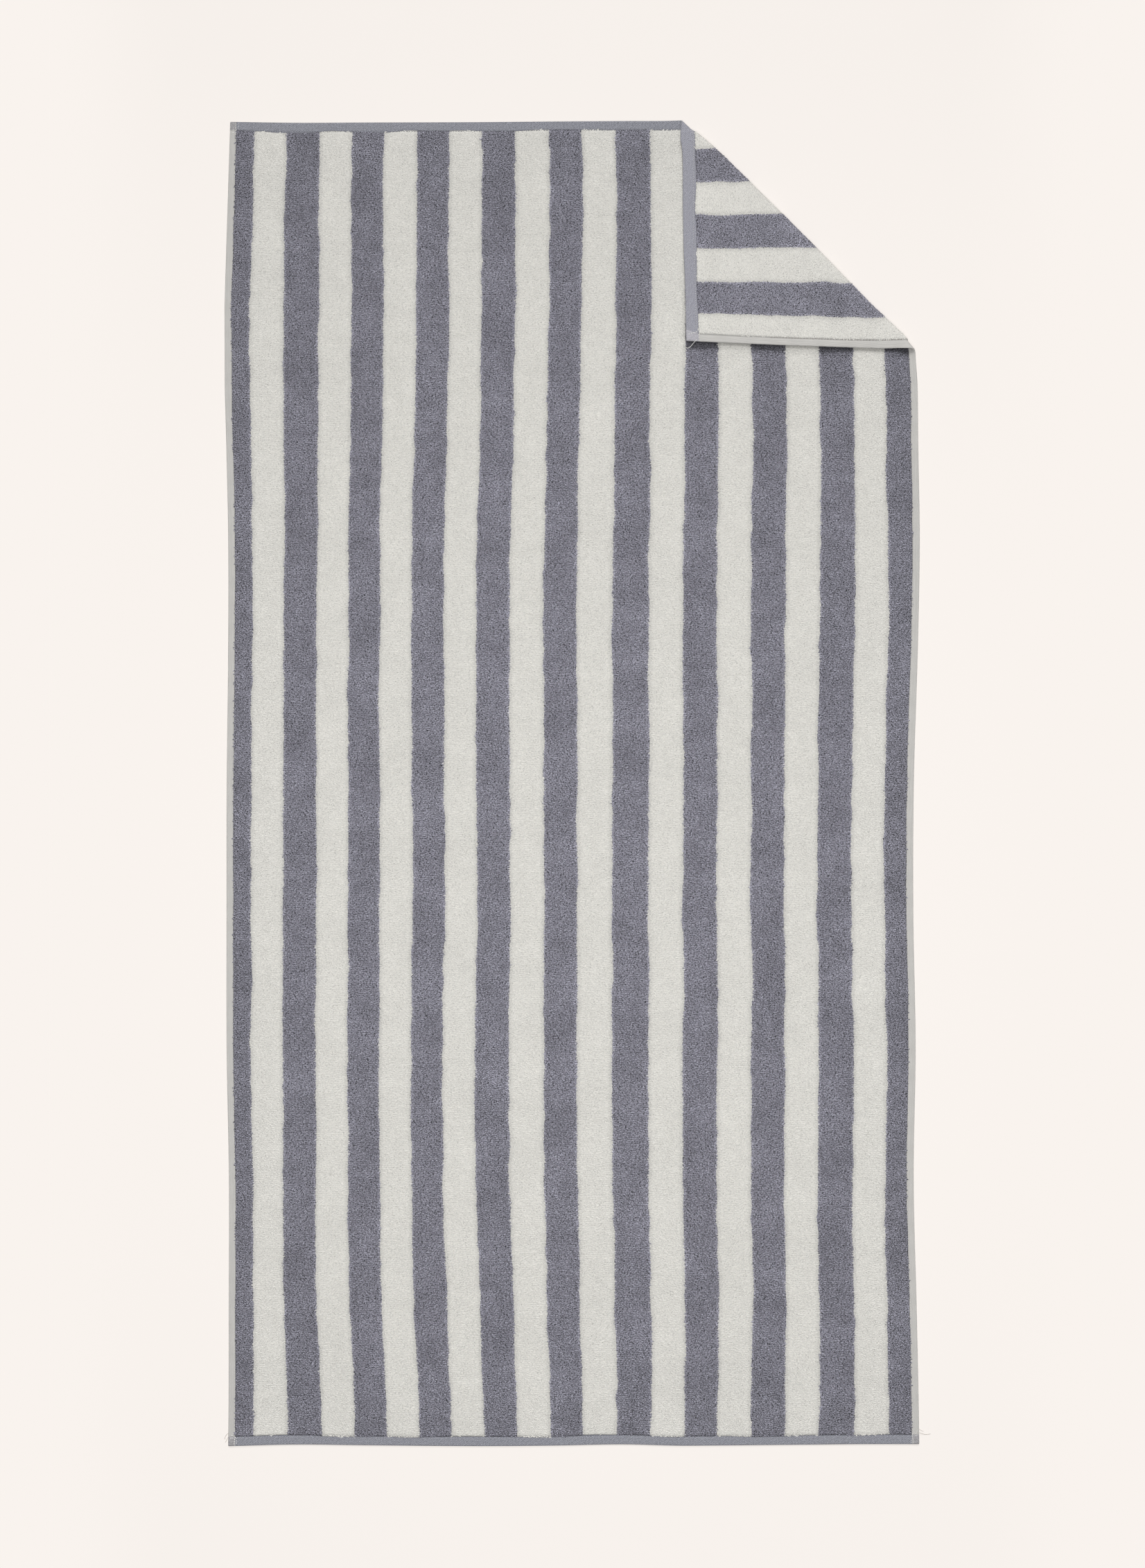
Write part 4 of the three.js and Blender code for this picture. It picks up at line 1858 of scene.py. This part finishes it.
@dataclass(frozen=True)
class Seam:
    """A piece of sewing: all the runs that are sewn with one thread."""

    name: str
    cloth: Cloth
    runs: tuple[Run, ...]
    sunk: float = 0.28
    stray: float = 0.12
    stands: float = 0.1
    ring: float = 0.55
    lengths: tuple[float, float] = (0.85, 1.1)

    def stitches(self, run: Run, rng: np.random.Generator) -> Array:
        """Lays the stitches of one run.

        A stitch is a short spindle: two rings of four points between two sunk ends.

        Args:
            run: The run.
            rng: Source of random numbers.

        Returns:
            Points, ten for each stitch.
        """
        start, end = np.array(run.start), np.array(run.end)
        span = float(np.hypot(*(end - start)))
        count = max(int(round(span / run.pitch)), 1)
        along = (end - start) / span
        aside = np.array([-along[1], along[0]])
        place = start + (np.arange(count)[:, None] + 0.5) / count * (end - start)
        place = place + aside * rng.normal(0.0, self.stray, (count, 1))
        half = span / count * run.share / 2 * rng.uniform(*self.lengths, count)
        thick = run.thick / 2
        on = np.array([-1.0, *[-self.ring] * 4, *[self.ring] * 4, 1.0])
        across = np.array([0.0, *[thick, 0.0, -thick, 0.0] * 2, 0.0])
        high = np.array([0.0, *[0.0, thick, 0.0, -thick] * 2, 0.0]) + self.stands
        high[[0, -1]] -= self.sunk
        flat = (
            place[:, None]
            + along * (half[:, None] * on)[..., None]
            + aside * across[None, :, None]
        )
        ground = self.cloth.lift(place[:, 0], place[:, 1], run.side)
        lift = (ground[:, None] + high[None]) * run.side.value
        points = self.cloth.drape.place(flat[..., 0].ravel(), flat[..., 1].ravel(), lift.ravel())
        points[:, 2] = np.maximum(points[:, 2], 0.0)
        return points

    def build(self, material: bpy.types.Material) -> bpy.types.Object:
        """Makes the stitches of all the runs, as one piece.

        Args:
            material: The thread's material.

        Returns:
            The piece.
        """
        rng = np.random.default_rng(len(self.name))
        ring = np.arange(4)
        after = (ring + 1) % 4
        caps = np.concatenate([
            np.stack([np.zeros(4, int), 1 + after, 1 + ring], -1),
            np.stack([np.full(4, 9), 5 + ring, 5 + after], -1),
        ])
        sides = np.stack([1 + ring, 1 + after, 5 + after, 5 + ring], -1)
        points, tips, bands = [], [], []
        for run in self.runs:
            found = self.stitches(run, rng)
            base = sum(len(part) for part in points)
            first = base + np.arange(len(found) // 10)[:, None, None] * 10
            tips.append((first + caps).reshape(-1, 3))
            bands.append((first + sides).reshape(-1, 4))
            both = outward(found, [tips[-1] - base, bands[-1] - base])
            tips[-1], bands[-1] = both[0] + base, both[1] + base
            points.append(found)
        piece = mesh_object(
            self.name,
            np.concatenate(points),
            [np.concatenate(tips), np.concatenate(bands)],
            smooth=True,
        )
        return finish_piece(piece, material)


@dataclass(frozen=True)
class LooseThread:
    """A loose end of thread, a thin tube along a smooth curve."""

    name: str
    knots: tuple[tuple[float, float, float], ...]
    thick: float = 0.6
    sides: int = 6
    rings: int = 25
    taper: float = 4.0
    tip: float = 0.25

    def build(self, material: bpy.types.Material) -> bpy.types.Object:
        """Makes the thread.

        Rings of points stand square to the curve through the knots, and their radius shrinks
        to a point at both ends.

        Args:
            material: The thread's material.

        Returns:
            The piece.
        """
        knots = np.array(self.knots)
        step = np.linspace(0.0, len(knots) - 1.0, self.rings)
        number = np.arange(len(knots), dtype=float)
        path = np.stack([smooth_curve(number, knots[:, k], step) for k in range(3)], -1)
        way = np.gradient(path, axis=0)
        way /= np.linalg.norm(way, axis=1, keepdims=True)
        aside = np.cross(way, (0.0, 0.0, 1.0))
        aside /= np.linalg.norm(aside, axis=1, keepdims=True)
        up = np.cross(aside, way)
        turn = np.arange(self.sides) * 2 * np.pi / self.sides
        share = np.clip(np.minimum(step, step[-1] - step) * self.taper, self.tip, 1.0)
        radius = self.thick / 2 * share
        ring = (
            aside[:, None] * np.cos(turn)[None, :, None]
            + up[:, None] * np.sin(turn)[None, :, None]
        )
        points = (path[:, None] + ring * radius[:, None, None]).reshape(-1, 3)
        points = np.concatenate([points, path[:1], path[-1:]]) * MM
        points[:, 2] = np.maximum(points[:, 2], 0.0)
        grid = np.arange(self.rings * self.sides).reshape(self.rings, self.sides)
        over = np.roll(grid, -1, axis=1)
        bands = np.stack([grid[:-1], over[:-1], over[1:], grid[1:]], -1).reshape(-1, 4)
        start, end = grid.size, grid.size + 1
        caps = np.concatenate([
            np.stack([np.full(self.sides, start), over[0], grid[0]], -1),
            np.stack([np.full(self.sides, end), grid[-1], over[-1]], -1),
        ])
        piece = mesh_object(self.name, points, outward(points, [bands, caps]), smooth=True)
        return finish_piece(piece, material)


@dataclass(frozen=True)
class Sewing:
    """All the sewing that shows, in millimetres: the stitch lines of the hems, their tacked
    corners and the loose ends. The tacks and the loose ends are listed one by one."""

    cloth: Cloth
    end_rows_start: float = 8.0
    side_rows_start: float = 15.0
    short_of_fold: float = 4.0
    end_row_in: float = 2.5
    side_row_in: float = 0.3

    def seams(self) -> dict[str, tuple[Run, ...]]:
        """The runs of stitches, by the thread that they are sewn with.

        Returns:
            Runs for each thread's name.
        """
        wide, long = self.cloth.drape.width, self.cloth.drape.length
        hem, drape = self.cloth.hem, self.cloth.drape
        end_in, side_in = hem.end_stitching, hem.side_stitching
        on_end, on_side = hem.end_on_back - self.end_row_in, hem.side_on_back - self.side_row_in
        top_end = drape.fold_start_u - self.short_of_fold
        fold_end = drape.fold_end_v - self.short_of_fold
        left, low = self.end_rows_start, self.side_rows_start
        slate = (
            Run((left, end_in), (wide - left, end_in), Side.FACE),
            Run((left, long - end_in), (top_end, long - end_in), Side.FACE),
        )
        pale = (
            Run((side_in, low), (side_in, long - low), Side.FACE),
            Run((wide - side_in, low), (wide - side_in, fold_end), Side.FACE),
        )
        red = (
            Run(
                (wide - on_side, drape.fold_end_v + 22.0),
                (wide - on_side, long - 95.0),
                Side.BACK,
                pitch=3.4,
                share=0.6,
                thick=0.32,
            ),
        )
        white = (
            Run(
                (drape.fold_start_u + 14.0, long - on_end),
                (wide - 14.0, long - on_end),
                Side.BACK,
                pitch=2.6,
                share=0.5,
                thick=0.32,
            ),
            Run((wide - 11.4, long - 13.0), (wide - 7.6, long - 2.2), Side.BACK, 2.6, 0.9, 0.8),
            Run((wide - 3.4, long - 14.6), (wide - 9.2, long - 14.4), Side.BACK, 2.9, 0.6, 1.4),
            Run((2.5, long - 9.3), (8.9, long - 9.3), Side.FACE, 3.2, 0.5, 1.2),
            Run((2.2, long - 12.3), (8.6, long - 12.3), Side.FACE, 3.2, 0.55, 1.5),
            Run((6.5, long - 8.2), (6.4, long - 1.0), Side.FACE, 2.4, 0.95, 0.45),
            Run((10.2, long - 8.8), (10.3, long - 1.4), Side.FACE, 2.4, 0.9, 0.4),
            Run((6.6, 1.2), (8.2, 11.0), Side.FACE, 2.3, 0.9, 0.8),
            Run((9.6, 2.0), (10.2, 9.6), Side.FACE, 2.5, 0.6, 0.8),
            Run((1.6, 9.0), (9.2, 9.2), Side.FACE, 2.6, 0.5, 1.2),
            Run((2.4, 12.0), (6.2, 12.0), Side.FACE, 3.4, 0.5, 1.3),
            Run((wide - 6.8, 1.4), (wide - 7.4, 12.4), Side.FACE, 2.3, 0.9, 0.8),
            Run((wide - 9.2, 1.6), (wide - 9.0, 5.0), Side.FACE, 1.9, 0.6, 0.8),
            Run((wide - 4.6, 9.6), (wide - 3.6, 12.6), Side.FACE, 1.9, 0.6, 0.8),
        )
        return {"slate": slate, "pale": pale, "red": red, "white": white}

    @staticmethod
    def loose_ends() -> tuple[LooseThread, ...]:
        """The loose ends of thread, by where they lie in space, in millimetres."""
        return (
            LooseThread(
                "loose_thread_corner",
                (
                    (141.6, 503.6, 8.6),
                    (139.6, 501.4, 8.4),
                    (137.0, 498.7, 6.4),
                    (134.4, 495.6, 5.3),
                    (131.4, 493.8, 5.0),
                    (128.8, 494.9, 4.9),
                ),
            ),
            LooseThread(
                "loose_thread_right",
                (
                    (391.5, -737.2, 2.6),
                    (395.4, -737.6, 2.2),
                    (400.0, -739.3, 0.7),
                    (404.0, -739.4, 0.4),
                    (407.2, -738.8, 0.4),
                ),
                thick=0.5,
            ),
            LooseThread(
                "loose_thread_right_short",
                (
                    (391.0, -733.0, 2.6),
                    (394.0, -733.6, 1.8),
                    (397.0, -735.2, 0.6),
                    (399.4, -736.0, 0.4),
                ),
                thick=0.35,
            ),
            LooseThread(
                "loose_thread_left",
                (
                    (-389.2, -737.6, 2.3),
                    (-391.8, -739.0, 1.0),
                    (-393.9, -742.0, 0.4),
                    (-394.8, -745.4, 0.4),
                ),
                thick=0.45,
            ),
            LooseThread(
                "loose_thread_left_short",
                (
                    (-389.6, -741.4, 2.0),
                    (-391.2, -743.6, 0.8),
                    (-393.0, -747.0, 0.4),
                    (-394.2, -748.6, 0.4),
                ),
                thick=0.4,
            ),
        )

    def build(self, yarns: Yarns, effects: Effects) -> list[bpy.types.Object]:
        """Makes the seams and the loose ends.

        Args:
            yarns: The colours.
            effects: The node groups.

        Returns:
            The pieces.
        """
        colours = {
            "slate": yarns.slate_thread,
            "pale": yarns.pale_thread,
            "red": yarns.red_thread,
            "white": yarns.white_thread,
        }
        pieces, finishes = [], {}
        for name, runs in self.seams().items():
            finishes[name] = ThreadFinish(f"{name}_thread", colours[name], effects).material()
            pieces.append(Seam(f"{name}_stitches", self.cloth, runs).build(finishes[name]))
        finishes["loose"] = ThreadFinish("loose_thread", yarns.loose_thread, effects).material()
        for thread in self.loose_ends():
            on_floor = min(knot[2] for knot in thread.knots) < 1.0
            pieces.append(thread.build(finishes["loose" if on_floor else "white"]))
        return pieces


@dataclass(frozen=True)
class Studio:
    """The pale floor, the soft lights and the camera straight above, in metres."""

    floor_colour: Colour = srgb(249, 243, 238)
    floor_radius: float = 40.0
    floor_sides: int = 96
    floor_level: float = -0.0002
    floor_glow: float = 0.62
    floor_shaded: tuple[float, float] = (0.395, 0.753)
    floor_fades: tuple[float, float] = (1.08, 1.5)
    camera_height: float = 5.0
    sensor_width: float = 36.0
    camera_range: tuple[float, float] = (0.1, 100.0)
    frame_height: float = 1.781
    centre: tuple[float, float] = (0.0004, -0.0008)
    room_light: float = 0.2
    overhead_place: tuple[float, float, float] = (0.04, -0.12, 2.4)
    overhead_size: float = 1.2
    overhead_power: float = 26.0
    slanting_place: tuple[float, float, float] = (0.0, 1.0, 1.1)
    slanting_spread: float = 0.5
    slanting_power: float = 1.75

    def floor(self) -> None:
        """Lays a round floor that shows as one even colour and keeps the towel's shadow."""
        turn = np.linspace(0.0, 2 * np.pi, self.floor_sides + 1)[:-1]
        rim = np.column_stack([np.cos(turn), np.sin(turn)]) * self.floor_radius
        points = np.column_stack([rim, np.full(len(rim), self.floor_level)])
        ground = mesh_object("floor", points, [np.arange(len(points))[None]], smooth=False)
        material = bpy.data.materials.new("pale_floor")
        material.use_nodes = True
        graph = Graph(material.node_tree)
        shader = material.node_tree.nodes["Principled BSDF"]
        shader.inputs["Base Color"].default_value = (*self.floor_colour, 1.0)
        shader.inputs["Roughness"].default_value = 1.0
        shader.inputs["Specular IOR Level"].default_value = 0.0
        glow = graph.add("ShaderNodeEmission")
        glow.inputs["Color"].default_value = (*self.floor_colour, 1.0)
        half_width, half_length = self.floor_shaded
        place = graph.stretched(graph.own_place(), 1 / half_width, 1 / half_length, 0.0)
        across, along, _ = (graph.math("ABSOLUTE", part) for part in graph.parts(place))
        far = graph.step(graph.math("MAXIMUM", across, along), *self.floor_fades)
        share = graph.math("MULTIPLY", self.seen(graph), graph.mix(far, self.floor_glow, 1.0))
        mixer = graph.add("ShaderNodeMixShader")
        graph.feed(mixer.inputs[0], share)
        graph.feed(mixer.inputs[1], shader.outputs[0])
        graph.feed(mixer.inputs[2], glow.outputs[0])
        graph.feed(material.node_tree.nodes["Material Output"].inputs[0], mixer.outputs[0])
        ground.data.materials.append(material)

    @staticmethod
    def seen(graph: Graph) -> Socket:
        """Tells rays that show what they meet: from the camera, mirrored or seen through.

        Args:
            graph: The graph of a material or the world.

        Returns:
            1 for such a ray, and 0 for any other.
        """
        path = graph.add("ShaderNodeLightPath")
        mirrored = graph.math(
            "MAXIMUM", path.outputs["Is Glossy Ray"], path.outputs["Is Transmission Ray"]
        )
        return graph.math("MAXIMUM", path.outputs["Is Camera Ray"], mirrored)

    def world(self) -> None:
        """Fills the room with plain soft light, and shows the floor's colour behind it."""
        world = bpy.data.worlds.new("room")
        world.use_nodes = True
        bpy.context.scene.world = world
        graph = Graph(world.node_tree)
        world.node_tree.nodes.clear()
        room = graph.add("ShaderNodeBackground")
        room.inputs["Color"].default_value = (1.0, 1.0, 1.0, 1.0)
        room.inputs["Strength"].default_value = self.room_light
        shown = graph.add("ShaderNodeBackground")
        shown.inputs["Color"].default_value = (*self.floor_colour, 1.0)
        mixer = graph.add("ShaderNodeMixShader")
        graph.feed(mixer.inputs[0], self.seen(graph))
        graph.feed(mixer.inputs[1], room.outputs[0])
        graph.feed(mixer.inputs[2], shown.outputs[0])
        graph.feed(graph.add("ShaderNodeOutputWorld").inputs[0], mixer.outputs[0])

    def hang(self, name: str, light: bpy.types.Light, place: Vector) -> None:
        """Hangs a light so that it looks straight at the middle of the towel.

        Args:
            name: Name of the lamp.
            light: The light.
            place: Where it hangs.
        """
        lamp = bpy.data.objects.new(name, light)
        lamp.location = place
        lamp.rotation_mode = "QUATERNION"
        lamp.rotation_quaternion = place.to_track_quat("Z", "Y")
        bpy.context.scene.collection.objects.link(lamp)

    def lights(self) -> None:
        """Hangs a broad lamp overhead, and a soft even light from beyond the top end."""
        overhead = bpy.data.lights.new("overhead", "AREA")
        overhead.shape, overhead.size = "SQUARE", self.overhead_size
        overhead.energy = self.overhead_power
        self.hang("overhead", overhead, Vector(self.overhead_place))
        slanting = bpy.data.lights.new("slanting", "SUN")
        slanting.angle, slanting.energy = self.slanting_spread, self.slanting_power
        self.hang("slanting", slanting, Vector(self.slanting_place))

    def camera(self) -> None:
        """Sets the camera straight above, so that its frame takes in the height asked for."""
        data = bpy.data.cameras.new("camera")
        data.sensor_width = self.sensor_width
        data.lens = self.sensor_width * self.camera_height / self.frame_height
        data.clip_start, data.clip_end = self.camera_range
        camera = bpy.data.objects.new("camera", data)
        camera.location = (*self.centre, self.camera_height)
        bpy.context.scene.collection.objects.link(camera)
        bpy.context.scene.camera = camera

    def build(self) -> None:
        """Sets up floor, room, lamps and camera."""
        bpy.context.scene.view_settings.view_transform = "Standard"
        self.floor()
        self.world()
        self.lights()
        self.camera()


def main() -> None:
    """Builds the towel and its studio."""
    logging.basicConfig(level=logging.INFO, format="%(name)s: %(message)s")
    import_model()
    drape, hem, stripes, weave, yarns = Drape(), Hem(), Stripes(), Weave(), Yarns()
    effects = Effects(
        stripes.group(),
        Fibres().group(),
        Flecks().group(),
        PilePatches().group(),
        Twill().group(),
    )
    cloth = Cloth(drape, hem, weave)
    cloth.settle()
    tone = TerryTone()
    sheet = cloth.build(GroundFinish(yarns, effects, tone).material())
    pieces = Pile(cloth, stripes).build(PileFinish(yarns, effects, tone).material())
    pieces += Sewing(cloth).build(yarns, effects)
    Studio().build()


if __name__ == "__main__":
    main()
